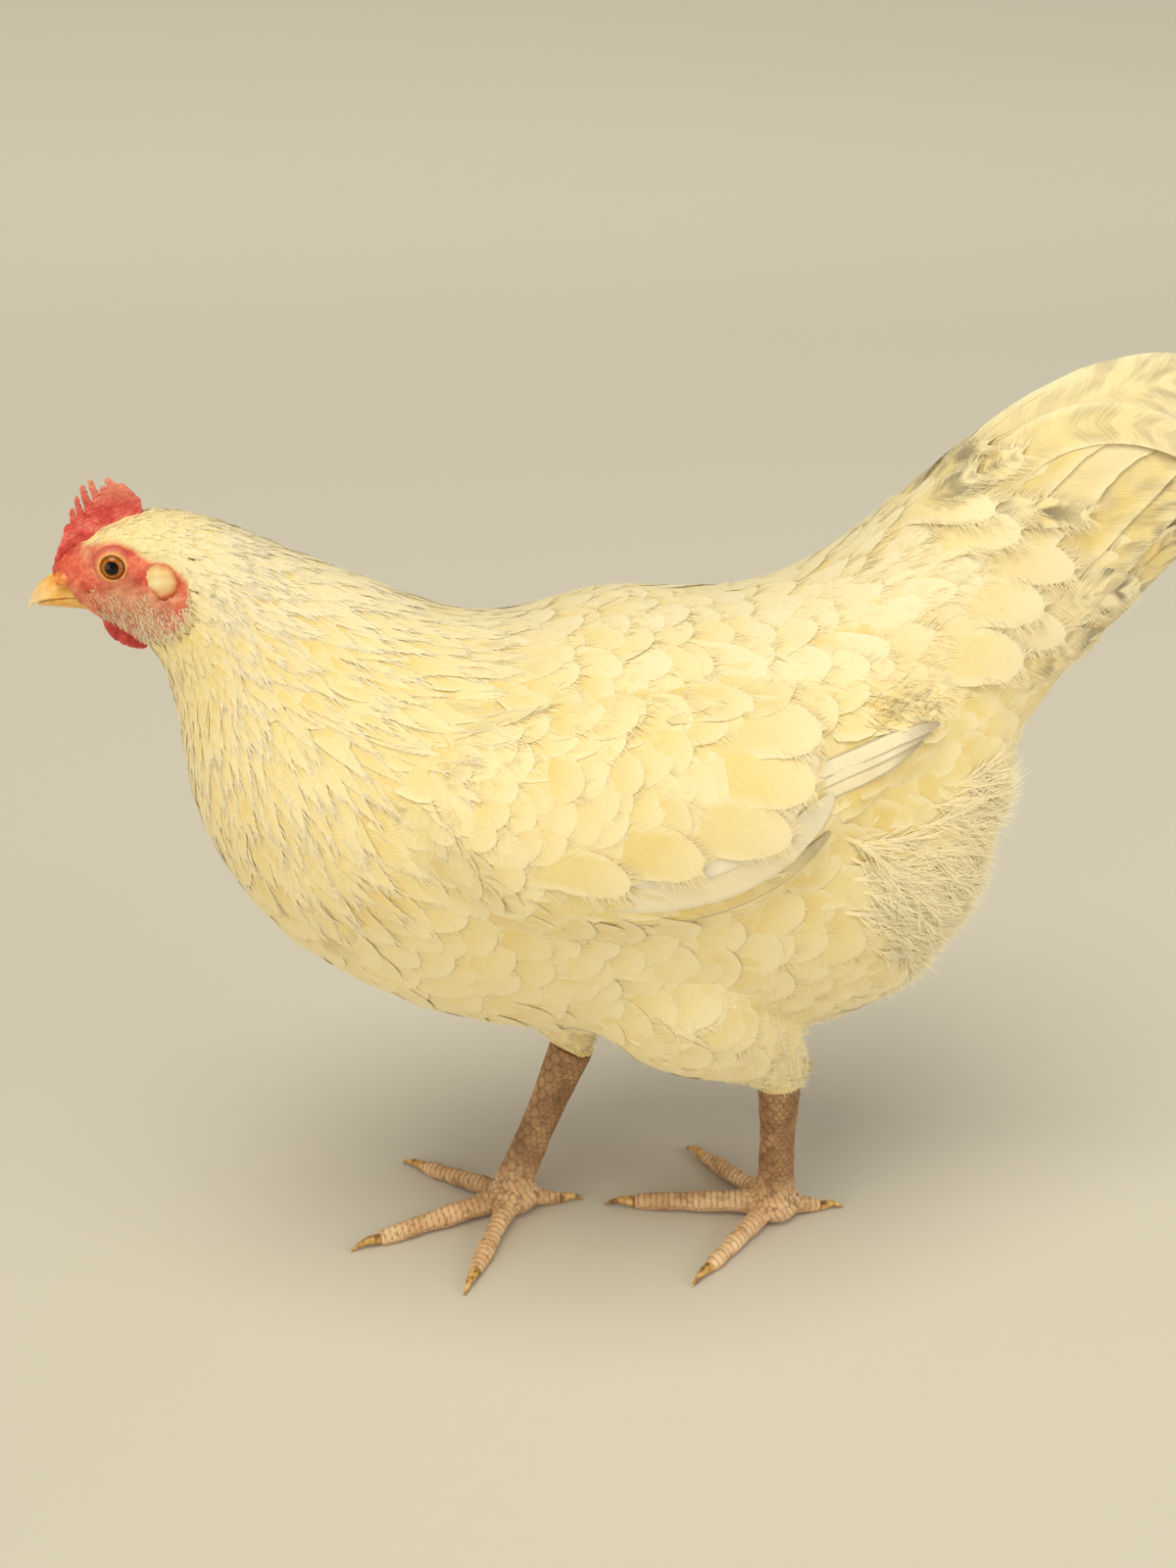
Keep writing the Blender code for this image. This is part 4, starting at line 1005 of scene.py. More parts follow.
for side in SIDES.values():
    for k, (corners, width, height, tilt, mark) in enumerate(RECTRICES + TAIL_COVERTS):
        covert = k >= len(RECTRICES)
        if k == 0 and side > 0:
            # the left one of the middle pair lies over the ridge and the right one
            width = RIDGE_WIDTH_RIGHT
        rows, depth, camber, loose = (16, 3.0, 0.05, 0.35) if covert else (26, 0.8, 0.012, 0.12)
        strands, length = (260, 7.0) if covert else (160, 3.0)
        batch = quill(corners, side, width, height - 0.2 * side, rows, 9, 300 + k + 50 * side, depth,
                      loose, mark, camber, tilt)
        batches += [batch, fringe(batch, strands, length, 320 + k, 0.3, white=0.2, lift=0.1)]
tail = coat_piece("tail_feathers", batches, "tail_feather", softness=0.3)
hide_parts("tail")

# The flight feathers of the folded wing show below its coverts as two whitish
# bands over a brownish one, and the outermost ones reach out behind the wing.
# corners (x, z) | width, height in mm | grey, speck, mottle | its dark rim
WING_QUILLS = [
    ([(-62, 200), (-30, 195), (-9, 194), (13, 199), (28, 205), (38, 211), (45, 218)], 10, 0.0,
     (0.0, 0.0, 0.25), 0.45),
    ([(-58, 209), (-30, 205), (-10, 204), (8, 208), (22, 213), (34, 221), (45, 232)], 17, 0.6,
     (-0.6, 0, 0), 0.15),
    ([(-50, 217), (-20, 214), (0, 217), (14, 223), (26, 231), (34, 240), (39, 248)], 16, 1.1,
     (-0.8, 0, 0), 0.1),
    ([(30, 230), (46, 233.5), (60, 236), (73, 240.5), (83, 245)], 6, 0.2, (-0.6, 0, 0.1), 0.6),
    ([(30, 234), (44, 237.5), (58, 240), (72, 244), (86, 248)], 5.5, 0.6, (-0.7, 0, 0.1), 0.6),
    ([(30, 238), (44, 241), (58, 243), (74, 248), (90, 250)], 6, 1.0, (-0.7, 0, 0.1), 0.6),
]
WING_COVERTS = [
    ([(-10, 243), (14, 245), (37, 236)], 25, 1.6, (0, 0, 0), 0),
    ([(-24, 228), (2, 228), (27, 220)], 21, 1.9, (-0.1, 0, 0), 0),
    ([(-48, 222), (-26, 222), (-6, 214)], 20, 1.6, (0, 0, 0), 0),
    ([(-74, 220), (-52, 217), (-32, 209)], 18, 1.4, (0, 0, 0), 0),
    ([(-4, 256), (20, 258), (42, 252)], 24, 1.3, (-0.2, 0, 0), 0),
]
for title, side in SIDES.items():
    batches = []
    for k, (corners, width, height, mark, rim) in enumerate(WING_QUILLS + WING_COVERTS):
        depth, loose, strands, length = (2.0, 0.1, 70, 1.3) if k < len(WING_QUILLS) else (3.0, 0.35, 200, 6.0)
        batch = quill(corners, side, width, height, 18, 7, 360 + k, depth, loose, mark, 0.05, 0.05,
                      pointed=0.05, rim_mark=rim)
        batches += [batch, fringe(batch, strands, length, 380 + k, white=0.15, lift=0.1)]
    coat_piece("flight_feathers_" + title, batches, softness=0.4)

# ---------------------------------------------------------------- loose barbs
# Behind the wing a few brown barbs curl out of the hollow above the quills, and
# the flank below is loose down: long white barbs that hang over the feathers.
HOLLOW = np.array([(58, 253), (64, 261), (78, 262), (88, 257), (85, 251), (70, 250)], float)
FLANK = [np.array([(44, 214), (58, 212), (84, 206), (97, 199), (103, 182), (99, 160), (88, 148), (62, 162),
                   (46, 182)], float),
         np.array([(80, 228), (98, 224), (113, 208), (110, 192), (94, 194), (84, 206)], float)]
DOWN_GLOW = np.array([0, 0, 0.7])


def in_hollow(mm):
    """Where the brown barbs are rooted."""
    return (inside(mm[:, [0, 2]], HOLLOW) > 0) & (np.abs(mm[:, 1]) > 30)


def on_flank(mm):
    """Where the long white barbs are rooted, fewer towards the edge."""
    deep = np.maximum(inside(mm[:, [0, 2]], FLANK[0]), inside(mm[:, [0, 2]], FLANK[1]))
    thinned = np.random.default_rng(74).random(len(mm)) * 9
    return (deep + 3 > thinned) & (deep > -3) & (np.abs(mm[:, 1]) > 20)


def loose_batch(keep, spacing, spec, mark, wander, depth):
    """Single barbs, of this spec and this far apart in mm, where keep allows them."""
    rooted = scattered(lambda mm: np.full(len(mm), spacing), keep, 71, -16000)
    count = len(rooted)
    batch = vanes(rooted, np.tile(spec, (count, 1)), 8, 3, 72, tip_height=0.8, wander=wander,
                  root_depth=np.full(count, depth))
    batch["marks"] = np.tile(mark, (count, 1))
    return batch


curls = loose_batch(in_hollow, 1.9, (11, 0.6, 1, 1.0, 0.2, 0.6), (0.3, 0.5, 0.7), 0.6, 1.0)
coat_piece("curled_barbs", [curls], softness=0.8)
down = loose_batch(on_flank, 5.2, (28, 2.0, 1, 0.9, 0.1, 1.0), (-0.2, 0, 0), 0.12, 5.0)
# down glows with the light that falls on it from above
down["ups"] = down["ups"] + DOWN_GLOW
barbs = fringe(down, 56, 8.0, 73, 0.35, lean=(0.1, 0.5), lift=0.15, white=0.3)
coat_piece("flank_down", [down, barbs], softness=0.8)

# ---------------------------------------------------------------- comb and wattles
# The comb and wattles are soft folds of skin full of blood: red, finely pebbled
# all over, and deep red in the wattles; the comb's top is painted paler, a painted
# highlight where the light falls on its tips.

# (x, z) corners of the comb's blade, and the line of its root
COMB_OUTLINE = [(-217, 308.5), (-214.6, 315.7), (-212.5, 320), (-210.9, 324.4), (-209.7, 325.4),
                (-209.0, 322.6), (-208.9, 329.2), (-207.9, 330.4), (-206.5, 325.0), (-206.7, 334.0),
                (-205.8, 335.0), (-205.0, 330), (-203.4, 325.8), (-204.5, 337.8), (-203.5, 338.7),
                (-202.0, 333.5), (-200.3, 329.6), (-201.5, 339.6), (-200.5, 340.3), (-199.0, 336),
                (-197.9, 332.8), (-198.0, 336.8), (-196.7, 337.8), (-195.3, 335.0), (-196.0, 339.8),
                (-195.3, 340.9), (-192.8, 338.8), (-189.8, 337.8), (-187.4, 335.2), (-185.0, 332.2),
                (-185.4, 326.5), (-192, 322), (-200, 318), (-206, 313), (-212, 308)]
COMB_ROOT = np.array([(-216, 310), (-206, 317), (-196, 323), (-185, 328)], float)
# mm above the root, and half the comb's thickness there
COMB_HALF = ([-2, 0, 4, 9, 14], [2.6, 1.9, 1.25, 0.95, 0.75])
COMB_BLANK = 1.5


def raised(bm, heights):
    """Moves a bmesh's points out along their normals by these heights in mm."""
    for vert, high in zip(bm.verts, heights):
        vert.co += vert.normal * float(high) * MM


def swollen(names, voxel, rounds, bumps):
    """A cast of these nodes with smooth bumps of (height, size, seed) in mm."""
    bm = cast(names, voxel, rounds, 0.0)
    bm.normal_update()
    mm = body_mm(each(bm))
    raised(bm, sum(height * waves(mm, size, seed) for height, size, seed in bumps))
    return bm


# Comb skin is soft and moist, so light sinks into it; its pebbles are 1 mm apart.
comb_skin, tree, shader = new_material("pebbled_comb_skin")
spot_place = add(tree, "TexCoord")["Object"]
blood = add(tree, "TexNoise", {"Vector": spot_place, "Scale": 190.0, "Detail": 3.0})["Fac"]
red = add(tree, "ValToRGB", {0: blood}, [(0.34, "C93A36"), (0.52, "E25B52"), (0.70, "EE8874")])[0]
comb_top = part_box("comb")[1].z
above = add(tree, "SeparateXYZ", {0: spot_place})[2]
# painted highlight: the comb's top 10 mm is painted paler, where the light falls on its tips
painted_top_highlight = add(tree, "MapRange", {0: above, 1: comb_top - 0.010, 2: comb_top})[0]
painted_top_highlight = add(tree, "Math", {0: painted_top_highlight, 1: 0.75}, operation="MULTIPLY")[0]
red = add(tree, "Mix", {0: painted_top_highlight, 6: red, 7: srgb("F3AE8C")}, data_type="RGBA")[2]
pebbles = add(tree, "TexVoronoi", {"Vector": spot_place, "Scale": 1000.0, "Smoothness": 0.6},
              feature="SMOOTH_F1")["Distance"]
between = add(tree, "ValToRGB", {0: pebbles}, [(0.30, "000000"), (0.75, "9A9A9A")])[0]
red = add(tree, "Mix", {0: between, 6: red, 7: srgb("B3302A")}, data_type="RGBA")[2]
finish(tree, shader, red, pebbles, 0.7, 0.0004, {
    "Roughness": 0.42, "Subsurface Weight": 0.25, "Subsurface Radius": (0.004, 0.0012, 0.0008),
    "Subsurface Scale": 1.0}, invert=True)
bm = bmesh.new()
blade = bm.faces.new([bm.verts.new(place(x, 0, z)) for x, z in COMB_OUTLINE])
grown = bmesh.ops.extrude_face_region(bm, geom=[blade])
far_side = [v for v in grown["geom"] if isinstance(v, bmesh.types.BMVert)]
bmesh.ops.translate(bm, verts=far_side, vec=(0, 2 * COMB_BLANK * MM, 0))
bmesh.ops.translate(bm, verts=bm.verts, vec=(0, -COMB_BLANK * MM, 0))
bmesh.ops.recalc_face_normals(bm, faces=bm.faces)
bm = with_modifier(bm, "REMESH", mode="VOXEL", voxel_size=0.0003)
# the blank becomes thin at the tips and folded along the spikes, and it leans over
x, _, z = body_mm(each(bm)).T
rise = z - np.interp(x, COMB_ROOT[:, 0], COMB_ROOT[:, 1])
fold = np.sin((x * 0.90 + z * 0.42) * 2.25) * np.interp(rise, [1, 4, 12], [0, 0.22, 0.1])
lean_over = 0.6 * np.sin(rise * 0.22 + x * 0.25) * np.clip(rise / 8, 0, 1)
for vert, thick, lean in zip(bm.verts, np.interp(rise, *COMB_HALF) + fold, lean_over):
    vert.co.y = vert.co.y / COMB_BLANK * thick + lean * MM
smoothed(bm, 3)
bm.normal_update()
mm = body_mm(each(bm))
raised(bm, 0.22 + 0.12 * waves(mm, 1.35, 21) + 0.10 * waves(mm, 3.2, 22))
fitted(shown("comb_skin", bm, comb_skin), "comb_flesh", "comb")

# Wattle skin is thinner and darker, with pebbles 0.8 mm apart.
wattle_skin, tree, shader = new_material("thin_wattle_skin")
spot_place = add(tree, "TexCoord")["Object"]
blood = add(tree, "TexNoise", {"Vector": spot_place, "Scale": 210.0, "Detail": 3.0})["Fac"]
pebbles = add(tree, "TexVoronoi", {"Vector": spot_place, "Scale": 1300.0})["Distance"]
red = add(tree, "ValToRGB", {0: blood}, [(0.34, "A82420"), (0.55, "C83A32"), (0.72, "D9584A")])[0]
finish(tree, shader, red, pebbles, 0.5, 0.0003, {"Roughness": 0.45}, invert=True)
for node in ("wattle_left", "wattle_right"):
    bm = swollen([node], 0.0004, 2, [(0.16, 2.6, 23), (0.08, 1.2, 24)])
    fitted(shown(node + "_skin", bm, wattle_skin), "comb_flesh", node)

# ---------------------------------------------------------------- ear lobes
# An ear lobe is a smooth oval pad below the ear, cream-yellow with an orange
# flush at its rear edge, and it has only the finest wrinkles.
LOBE_SCALE = (1.72, 0.72, 1.12)
LOBE_SHIFT = (0.3 * MM, 0, 0)

# Lobe skin is matt and smooth, with wrinkles 1.1 mm apart.
lobe_skin, tree, shader = new_material("smooth_ear_lobe_skin")
spot_place = add(tree, "TexCoord")["Object"]
lobe_rim = add(tree, "Attribute", attribute_name="from_middle")["Fac"]
patchy = add(tree, "TexNoise", {"Vector": spot_place, "Scale": 260.0, "Detail": 3.0})["Fac"]
patchy = add(tree, "Math", {0: patchy, 1: 0.5}, operation="MULTIPLY")[0]
flushed = add(tree, "Math", {0: lobe_rim, 1: patchy}, operation="ADD")[0]
wrinkles = add(tree, "TexNoise", {"Vector": spot_place, "Scale": 900.0})["Fac"]
cream = add(tree, "ValToRGB", {0: flushed}, [(0.45, "F4E0AA"), (0.70, "F0CB8C"), (0.92, "E2A068"),
                                      (1.0, "D87A54")])[0]
finish(tree, shader, cream, wrinkles, 0.4, 0.0003, {"Roughness": 0.5})
for title, side in SIDES.items():
    node = "ear_lobe_" + title
    bm = swollen([node], 0.0005, 3, [(0.10, 3.4, 26), (0.03, 1.3, 28)])
    lo, hi = (np.array(corner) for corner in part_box(node))
    middle, half = (lo + hi) / 2, (hi - lo) / 2
    # it is a wider and flatter pad than its solid, and stays on its seat
    seat = (middle[0], hi[1] if side < 0 else lo[1], middle[2])
    for vert in bm.verts:
        vert.co = [s + (c - s) * scale + shift
                   for c, s, scale, shift in zip(vert.co, seat, LOBE_SCALE, LOBE_SHIFT)]
    # paler in front and above, flushed behind and below
    reach = (each(bm) - middle)[:, [0, 2]] / half[[0, 2]] / [1.5, 1.1] - np.array([-0.25, 0.2])
    lobe = fitted(shown(node + "_skin", bm, lobe_skin), "lobe_flesh", node)
    carry(lobe.data, "from_middle", np.linalg.norm(reach, axis=1))

# ---------------------------------------------------------------- eyes
# A hen's eye: a black pupil in an orange-amber iris under a clear wet cornea,
# within two thin yellow-orange lids that lie as one ring round it.
EYE_RADIUS = 6.0 * MM
CORNEA_RADIUS = 4.3 * MM
CORNEA_RISE = 0.35 * MM
# (distance from the eye's axis, height over its middle) in mm
LID_SECTION = [(4.02, 4.20), (4.10, 4.66), (4.40, 4.92), (4.85, 4.86), (5.20, 4.45), (5.45, 4.25),
               (5.80, 4.22), (6.15, 3.75), (6.60, 3.10), (7.20, 2.30)]

# The eye is wet: a thin clear coat gives it a small sharp glint.
eye_glass, tree, shader = new_material("wet_bird_eye")
rim_place = add(tree, "Attribute", attribute_name="from_axis")["Fac"]
streak_place = add(tree, "Attribute", attribute_name="round_axis")["Vector"]
streaks = add(tree, "TexNoise", {"Vector": streak_place, "Scale": 5.0, "Detail": 2.0})["Fac"]
iris = add(tree, "ValToRGB", {0: streaks}, [(0.3, "904808"), (0.6, "B86814"), (0.8, "CC8024")])[0]
for code, *stops in (("9A500A", (0.34, "FFFFFF"), (0.45, "404040"), (0.60, "000000")),
                     ("3A2410", (0.55, "000000"), (0.68, "FFFFFF")),
                     ("020101", (0.385, "FFFFFF"), (0.410, "000000"))):
    ring = add(tree, "ValToRGB", {0: rim_place}, stops)[0]
    iris = add(tree, "Mix", {0: ring, 6: iris, 7: srgb(code)}, data_type="RGBA")[2]
feed(tree, shader, {"Base Color": iris, "Roughness": 0.22, "Specular IOR Level": 0.2,
                    "Coat Weight": 0.22, "Coat Roughness": 0.05})

# Lid skin is thin and a little moist, with folds 0.9 mm apart.
lid_skin, tree, shader = new_material("eyelid_skin")
rim_place = add(tree, "Attribute", attribute_name="from_axis")["Fac"]
spot_place = add(tree, "TexCoord")["Object"]
folds = add(tree, "TexNoise", {"Vector": spot_place, "Scale": 1100.0, "Detail": 2.0})["Fac"]
ring = add(tree, "ValToRGB", {0: rim_place}, [(0.60, "7A3E12"), (0.68, "D98A34"), (0.80, "E6A860"),
                                     (0.92, "DC8458"), (1.0, "D2685A")])[0]
finish(tree, shader, ring, folds, 0.5, 0.0003, {"Roughness": 0.38})
for title, sign in SIDES.items():
    # only the outer side of the ball reaches its full size, so it is found from there
    lo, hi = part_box("eye_" + title)
    outer = lo.y if sign < 0 else hi.y
    centre = Vector(((lo.x + hi.x) / 2, outer - sign * EYE_RADIUS, (lo.z + hi.z) / 2))
    ahead = Vector((-0.16, sign, 0.10)).normalized()
    turn = Matrix.Translation(centre) @ ahead.to_track_quat("Z", "Y").to_matrix().to_4x4()
    bm = bmesh.new()
    bmesh.ops.create_uvsphere(bm, u_segments=48, v_segments=40, radius=EYE_RADIUS)
    from_axis = bm.verts.layers.float.new("from_axis")
    round_axis = bm.verts.layers.float_vector.new("round_axis")
    for vert in bm.verts:
        reach = math.hypot(vert.co.x, vert.co.y)
        vert[from_axis] = reach / EYE_RADIUS
        angle = math.atan2(vert.co.y, vert.co.x)
        vert[round_axis] = (math.cos(angle), math.sin(angle), reach * 60)
        if vert.co.z > 0:
            vert.co.z += CORNEA_RISE * max(0, 1 - (reach / CORNEA_RADIUS) ** 2)
    bmesh.ops.transform(bm, matrix=turn, verts=bm.verts)
    fitted(shown("eyeball_" + title, bm, eye_glass), "eye", "eye_" + title)
    bm = bmesh.new()
    section = [bm.verts.new((r * MM, 0, h * MM)) for r, h in LID_SECTION]
    edges = [bm.edges.new(pair) for pair in zip(section, section[1:])]
    bmesh.ops.spin(bm, geom=section + edges, cent=(0, 0, 0), axis=(0, 0, 1), angle=math.tau, steps=56,
                   use_merge=True)
    bmesh.ops.remove_doubles(bm, verts=bm.verts, dist=1e-6)
    from_axis = bm.verts.layers.float.new("from_axis")
    for vert in bm.verts:
        reach = math.hypot(vert.co.x, vert.co.y)
        angle = math.atan2(vert.co.y, vert.co.x)
        vert[from_axis] = reach / EYE_RADIUS
        vert.co.z += 0.10 * MM * math.sin(angle * 14) * min(1, max(0, reach / MM - 4.3))
        vert.co.x *= 1.0 + 0.03 * math.cos(angle)
    bmesh.ops.recalc_face_normals(bm, faces=bm.faces)
    bmesh.ops.transform(bm, matrix=turn, verts=bm.verts)
    lid = fitted(shown("eyelids_" + title, bm, lid_skin), "lobe_flesh")
    lid.modifiers.new("thickness", "SOLIDIFY").thickness = 0.2 * MM

# ---------------------------------------------------------------- beak
# The bill is a sheath of horn over bone: yellow, darker along its ridge, with
# growth lines along it, and a soft orange flap that roofs each nostril.
FLAP_LIFT = 1.6 * MM
FLAP_HALF = (3.5, 3.5, 2.7)
FLAP_HEIGHT = 1.7

# Beak horn is smooth and slightly waxy. Its growth lines are 1.4 to 2.4 mm apart
# across the beak and run long along it, and it is paler at the tip.
beak_horn, tree, shader = new_material("yellow_beak_horn")
spot_place = add(tree, "TexCoord")["Object"]
beak_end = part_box("beak_upper")[0].x
stretched = add(tree, "Mapping", {0: spot_place, 3: (60.0, 700.0, 420.0)})[0]
lines = add(tree, "TexNoise", {"Vector": stretched, "Scale": 1.0, "Detail": 3.0})["Fac"]
horn = add(tree, "ValToRGB", {0: lines}, [(0.32, "D8963A"), (0.50, "EDB658"), (0.70, "F6CE7C")])[0]
behind_tip = add(tree, "SeparateXYZ", {0: spot_place})[0]
behind_tip = add(tree, "MapRange", {0: behind_tip, 1: beak_end, 2: beak_end + 0.009})[0]
tip = add(tree, "Math", {0: 1.0, 1: behind_tip}, operation="SUBTRACT", use_clamp=True)[0]
horn = add(tree, "Mix", {0: tip, 6: horn, 7: srgb("E9D3A4")}, data_type="RGBA")[2]
finish(tree, shader, horn, lines, 0.35, 0.0003, {"Roughness": 0.36})
for node in ("beak_upper", "beak_lower"):
    bm = swollen([node], 0.00035, 3, [(0.03, 2.0, 27)])
    fitted(shown(node + "_horn", bm, beak_horn), "beak_horn", node)

# Flap skin is soft and orange, mottled 2.4 mm apart.
flap_skin, tree, shader = new_material("nostril_flap_skin")
spot_place = add(tree, "TexCoord")["Object"]
soft = add(tree, "TexNoise", {"Vector": spot_place, "Scale": 420.0, "Detail": 3.0})["Fac"]
orange = add(tree, "ValToRGB", {0: soft}, [(0.35, "C9661E"), (0.55, "E2893A"), (0.72, "EFA862")])[0]
finish(tree, shader, orange, soft, 0.5, 0.0004, {"Roughness": 0.42})
beak_form = Surface(copied(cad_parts["beak_upper"].data))
for title, side in SIDES.items():
    spot, up = beak_form.nearest(np.array([place(-213.2, side * 6.5, 308.4)]))
    centre, up = Vector((spot + up * FLAP_LIFT)[0]), Vector(up[0])
    turn = Matrix.Translation(centre) @ up.to_track_quat("Z", "X").to_matrix().to_4x4()
    bm = bmesh.new()
    bmesh.ops.create_icosphere(bm, subdivisions=4, radius=1.0)
    bmesh.ops.transform(bm, matrix=turn, verts=bm.verts)
    for vert in bm.verts:
        off = vert.co - centre
        high = off.dot(up)
        flat = Vector([f * half for f, half in zip(off - up * high, FLAP_HALF)])
        vert.co = centre + flat * MM + up * high * FLAP_HEIGHT * MM
    fitted(shown("nostril_flap_" + title, bm, flap_skin), "lobe_flesh")

# ---------------------------------------------------------------- legs
# Shank and toes are one scaly skin: two rows of large plates down the front of
# the shank, small ones behind, and cross plates over each toe. It is tan-brown,
# with dried mud in the grooves, and it pales to pinkish tan on the toes.
TOES = ("inner", "middle", "outer", "hind")
# sizes in mm
SHANK_RADIUS = 8.0
FRONT_PLATE, SIDE_PLATE, TOE_PLATE, SOLE_PLATE, PAD_PLATE = 5.2, 2.9, 2.7, 1.8, 3.0
GROOVE_DEPTH = 0.38

# Leg scale is dry, matt horn: patchy 14 mm apart, with mud 4 mm apart and a
# grain of 0.8 mm.
leg_skin, tree, shader = new_material("scaly_leg_skin")
spot_place = add(tree, "TexCoord")["Object"]
patchy = add(tree, "TexNoise", {"Vector": spot_place, "Scale": 70.0, "Detail": 5.0, "Roughness": 0.65})["Fac"]
shank_tan = add(tree, "ValToRGB", {0: patchy}, [(0.32, "7D5A38"), (0.50, "A07850"), (0.68, "C09A6C")])[0]
toe_tan = add(tree, "ValToRGB", {0: patchy}, [(0.32, "BC9264"), (0.50, "DDB488"), (0.68, "EDCCA2")])[0]
on_toe = add(tree, "Attribute", attribute_name="toe")["Fac"]
tan = add(tree, "Mix", {0: on_toe, 6: shank_tan, 7: toe_tan}, data_type="RGBA")[2]
groove = add(tree, "Attribute", attribute_name="groove")["Fac"]
groove = add(tree, "Math", {0: groove, 1: 0.75}, operation="MULTIPLY")[0]
mud = add(tree, "TexNoise", {"Vector": spot_place, "Scale": 230.0, "Detail": 4.0})["Fac"]
mud = add(tree, "ValToRGB", {0: mud}, [(0.56, "000000"), (0.66, "B0B0B0")])[0]
for mask, code in ((groove, "5E4128"), (mud, "6A4C30")):
    tan = add(tree, "Mix", {0: mask, 6: tan, 7: srgb(code)}, data_type="RGBA")[2]
fine = add(tree, "TexNoise", {"Vector": spot_place, "Scale": 1200.0, "Detail": 3.0})["Fac"]
finish(tree, shader, tan, fine, 0.35, 0.0003, {"Roughness": 0.58})


def limb_axis(node, towards):
    """(start, end) of a limb's line, from its own long axis, ending nearest to towards."""
    points = np.array([v.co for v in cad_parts[node].data.vertices])
    middle = points.mean(0)
    way = np.linalg.svd(points - middle, full_matrices=False)[2][0]
    run = (points - middle) @ way
    ends = [middle + way * run.min(), middle + way * run.max()]
    return sorted(ends, key=lambda e: -np.linalg.norm(e - towards))


def plates(run, girth, size):
    """Depth of the groove, 0-1, in a pattern of six-sided plates of this size in mm."""
    pitch = size * 0.87
    best = np.full((2, len(run)), 1e9)
    row = np.round(run / pitch)
    for dr, dc in product((-1, 0, 1), repeat=2):
        line = row + dr
        shift = 0.5 * (line % 2)
        column = np.round(girth / size - shift) + dc
        gap = np.hypot(run - line * pitch, girth - (column + shift) * size)
        best = np.sort(np.vstack([best, gap]), axis=0)[:2]
    return np.clip(1 - (best[1] - best[0]) / (size * 0.22), 0, 1)


for title in SIDES:
    shank, foot = "shank_" + title, "foot_" + title
    toes = [f"toe_{title}_{toe}" for toe in TOES]
    bm = cast([shank, foot, *toes], 0.0006, 3, 0.0002)
    bm.normal_update()
    points, normals = each(bm), each(bm, "normal")
    x, y, z = (points / MM).T
    pad = np.array((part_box(foot)[0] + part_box(foot)[1]) / 2)
    # each point belongs to the nearest of the five limbs
    limbs = [limb_axis(shank, pad)] + [limb_axis(toe, points.mean(0))[::-1] for toe in toes]
    runs, gaps = [], []
    for start, end in limbs:
        way = end - start
        long = np.linalg.norm(way)
        share = ((points - start) @ way) / long
        gaps.append(np.linalg.norm(points - start - np.clip(share, 0, long)[:, None] * way / long, axis=1))
        runs.append(share / MM)
    nearest = np.argmin(gaps, axis=0)
    on_shank = nearest == 0
    # the shank: large plates in front and small ones behind
    start, end = limbs[0]
    way = (end - start) / np.linalg.norm(end - start)
    front = np.array([-1.0, 0, 0]) - way * way[0] * -1.0
    front /= np.linalg.norm(front)
    radial = points - start - ((points - start) @ way)[:, None] * way
    angle = np.arctan2(radial @ np.cross(way, front), radial @ front)
    girth = angle * SHANK_RADIUS
    ahead = np.clip((1.15 - np.abs(angle)) / 0.2, 0, 1)
    shank_groove = (plates(runs[0], girth + FRONT_PLATE / 2, FRONT_PLATE) * ahead
                    + plates(runs[0], girth, SIDE_PLATE) * (1 - ahead))
    # the toes: cross plates above and pebbles below, and round pebbles on the pad
    step = (np.choose(nearest, runs) / TOE_PLATE) % 1.0
    upward = np.clip(normals[:, 2] / 0.35 + 0.4, 0, 1)
    cross = np.clip(1 - np.minimum(step, 1 - step) / 0.13, 0, 1)
    toe_groove = cross * upward + plates(x, y, SOLE_PLATE) * (1 - upward) * 0.7
    near_pad = np.clip(1 - (np.linalg.norm(points - pad, axis=1) / MM - 11) / 5, 0, 1)
    pad_groove = plates(x * 0.9 + z * 0.5, y, PAD_PLATE)
    grooves = np.where(on_shank, shank_groove, toe_groove) * (1 - near_pad) + pad_groove * near_pad
    rise = -GROOVE_DEPTH * grooves + 0.12 * waves(body_mm(points), 9.0, 41)
    rise += np.where(on_shank, 0, 0.30 * (0.5 - step) * upward * (1 - near_pad))
    rise *= np.clip(z / 1.2, 0, 1)
    for vert, spot in zip(bm.verts, points + normals * (rise * MM)[:, None]):
        vert.co = (*spot[:2], max(spot[2], 0.0))
    leg = fitted(shown("leg_skin_" + title, bm, leg_skin), "leg_scale", shank, foot, *toes)
    carry(leg.data, "groove", grooves)
    carry(leg.data, "toe", np.clip(np.where(on_shank, 1 - (z - 14) / 14, 1.0), 0, 1))
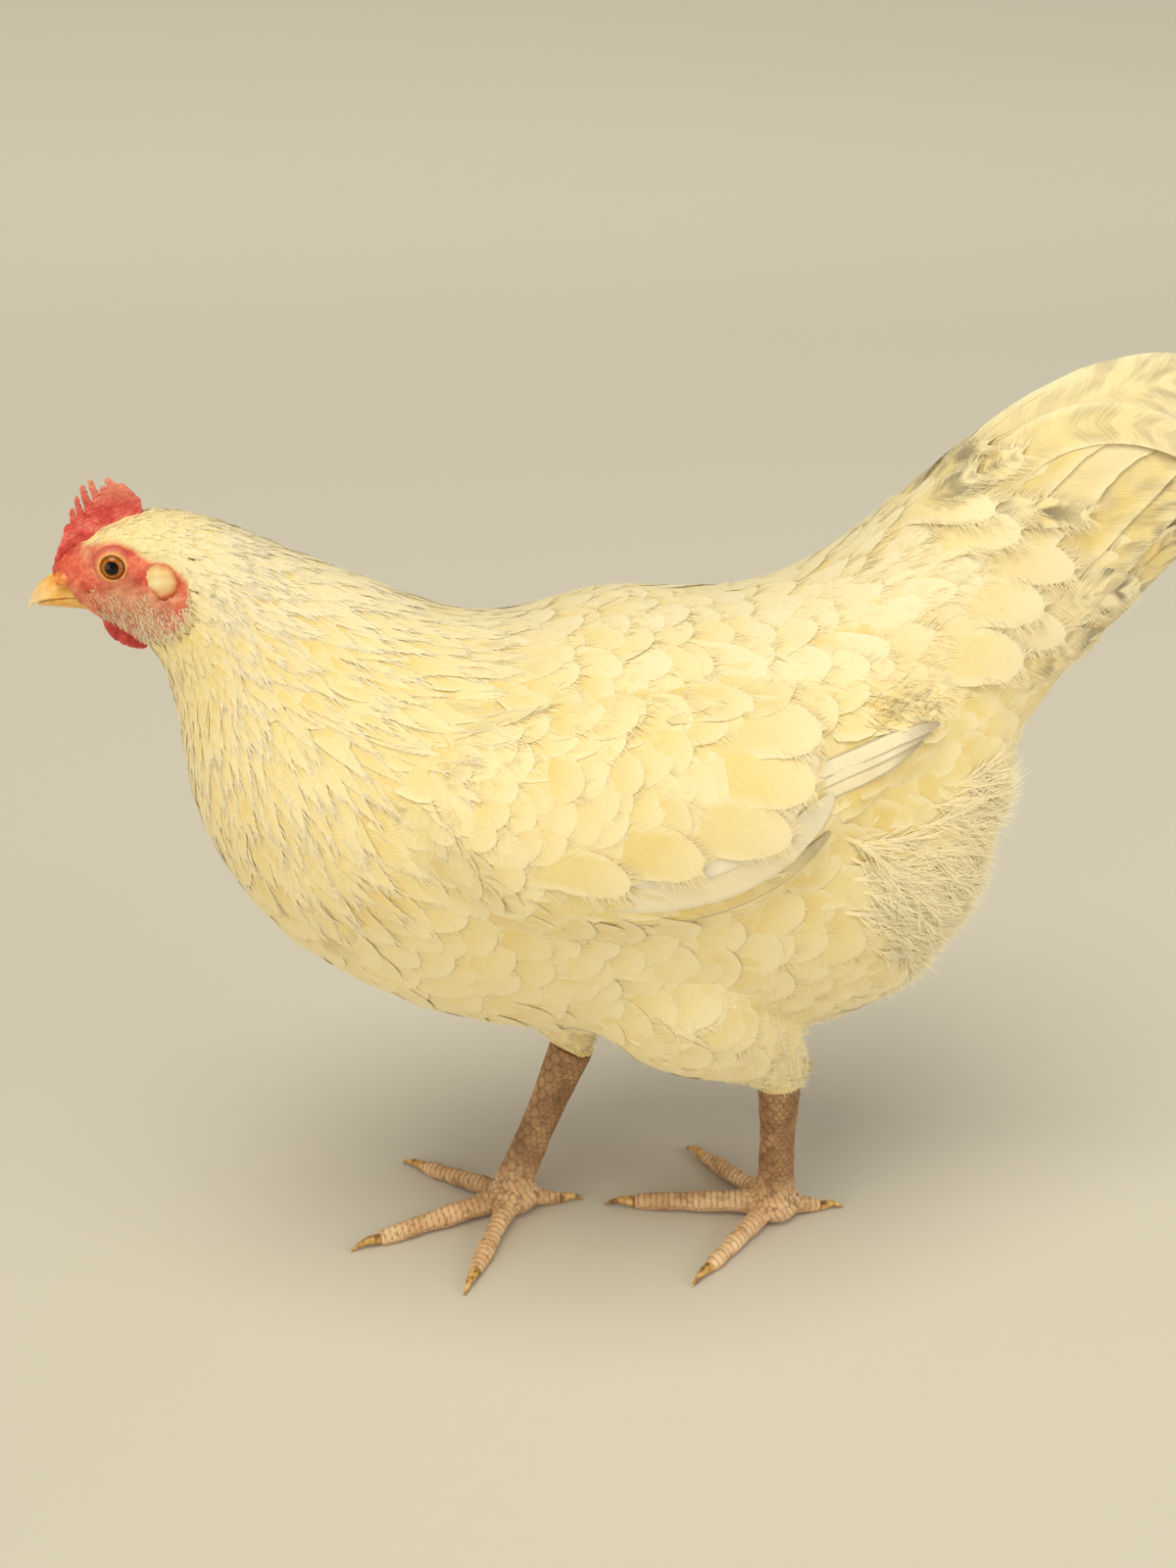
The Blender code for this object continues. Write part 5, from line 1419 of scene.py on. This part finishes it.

# The claws are blunt horn, yellowish with patches of brown dirt.
claw_horn, tree, shader = new_material("blunt_claw_horn")
spot_place = add(tree, "TexCoord")["Object"]
lines = add(tree, "TexNoise", {"Vector": spot_place, "Scale": 300.0, "Detail": 4.0})["Fac"]
horn = add(tree, "ValToRGB", {0: lines}, [(0.35, "7A5630"), (0.50, "C89A50"), (0.68, "E6C486")])[0]
finish(tree, shader, horn, lines, 0.4, 0.0003, {"Roughness": 0.4})
for title in SIDES:
    claws = [f"claw_{title}_{toe}" for toe in TOES]
    bm = swollen(claws, 0.00035, 2, [(0.05, 1.6, 43)])
    fitted(shown("claws_horn_" + title, bm, claw_horn), "claw_horn", *claws)

# ---------------------------------------------------------------- floor and light
# A plain pale sheet that sweeps up behind, and soft light from the front, the
# left and above.
SWEEP = [(-6, 0), (2.6, 0), (3.2, 0.04), (3.7, 0.18), (4.1, 0.45), (4.35, 0.9), (4.5, 1.6), (4.5, 4.5)]
floor_bm = bmesh.new()
rows_of = [[floor_bm.verts.new((x, y, z)) for x in (-8, 8)] for y, z in SWEEP]
for near, far in zip(rows_of, rows_of[1:]):
    floor_bm.faces.new((near[0], near[1], far[1], far[0]))
floor_material, tree, shader = new_material("pale_studio_floor")
feed(tree, shader, {"Base Color": srgb("CFCAC0"), "Roughness": 0.8})
shown("floor", floor_bm, floor_material)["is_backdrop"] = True


def lamp(name, kind, spot, way, power, code, **settings):
    """A soft light that shines this way."""
    data = bpy.data.lights.new(name, kind)
    data.energy = power
    data.color = srgb(code)[:3]
    for key, value in settings.items():
        setattr(data, key, value)
    made = linked(name, data)
    made.location = spot
    made.rotation_euler = Vector(way).to_track_quat("-Z", "Y").to_euler()


lamp("soft_key", "SUN", (0, 0, 0), (0.12, 0.27, -1.0), 1.88, "FFFBE2", angle=math.radians(38))
lamp("fill_light", "AREA", (-1.9, -1.3, 0.55), (1.9, 1.3, -0.35), 20.5, "FFF2E0", size=1.6)
lamp("rim_light", "AREA", (1.5, -1.1, 0.8), (-1.4, 1.1, -0.6), 12.5, "FFF8EC", size=1.2)
world = bpy.data.worlds.new("studio")
world.use_nodes = True
feed(world.node_tree, world.node_tree.nodes["Background"], {0: srgb("E6E2DA"), 1: 0.40})
bpy.context.scene.world = world

lo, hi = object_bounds()
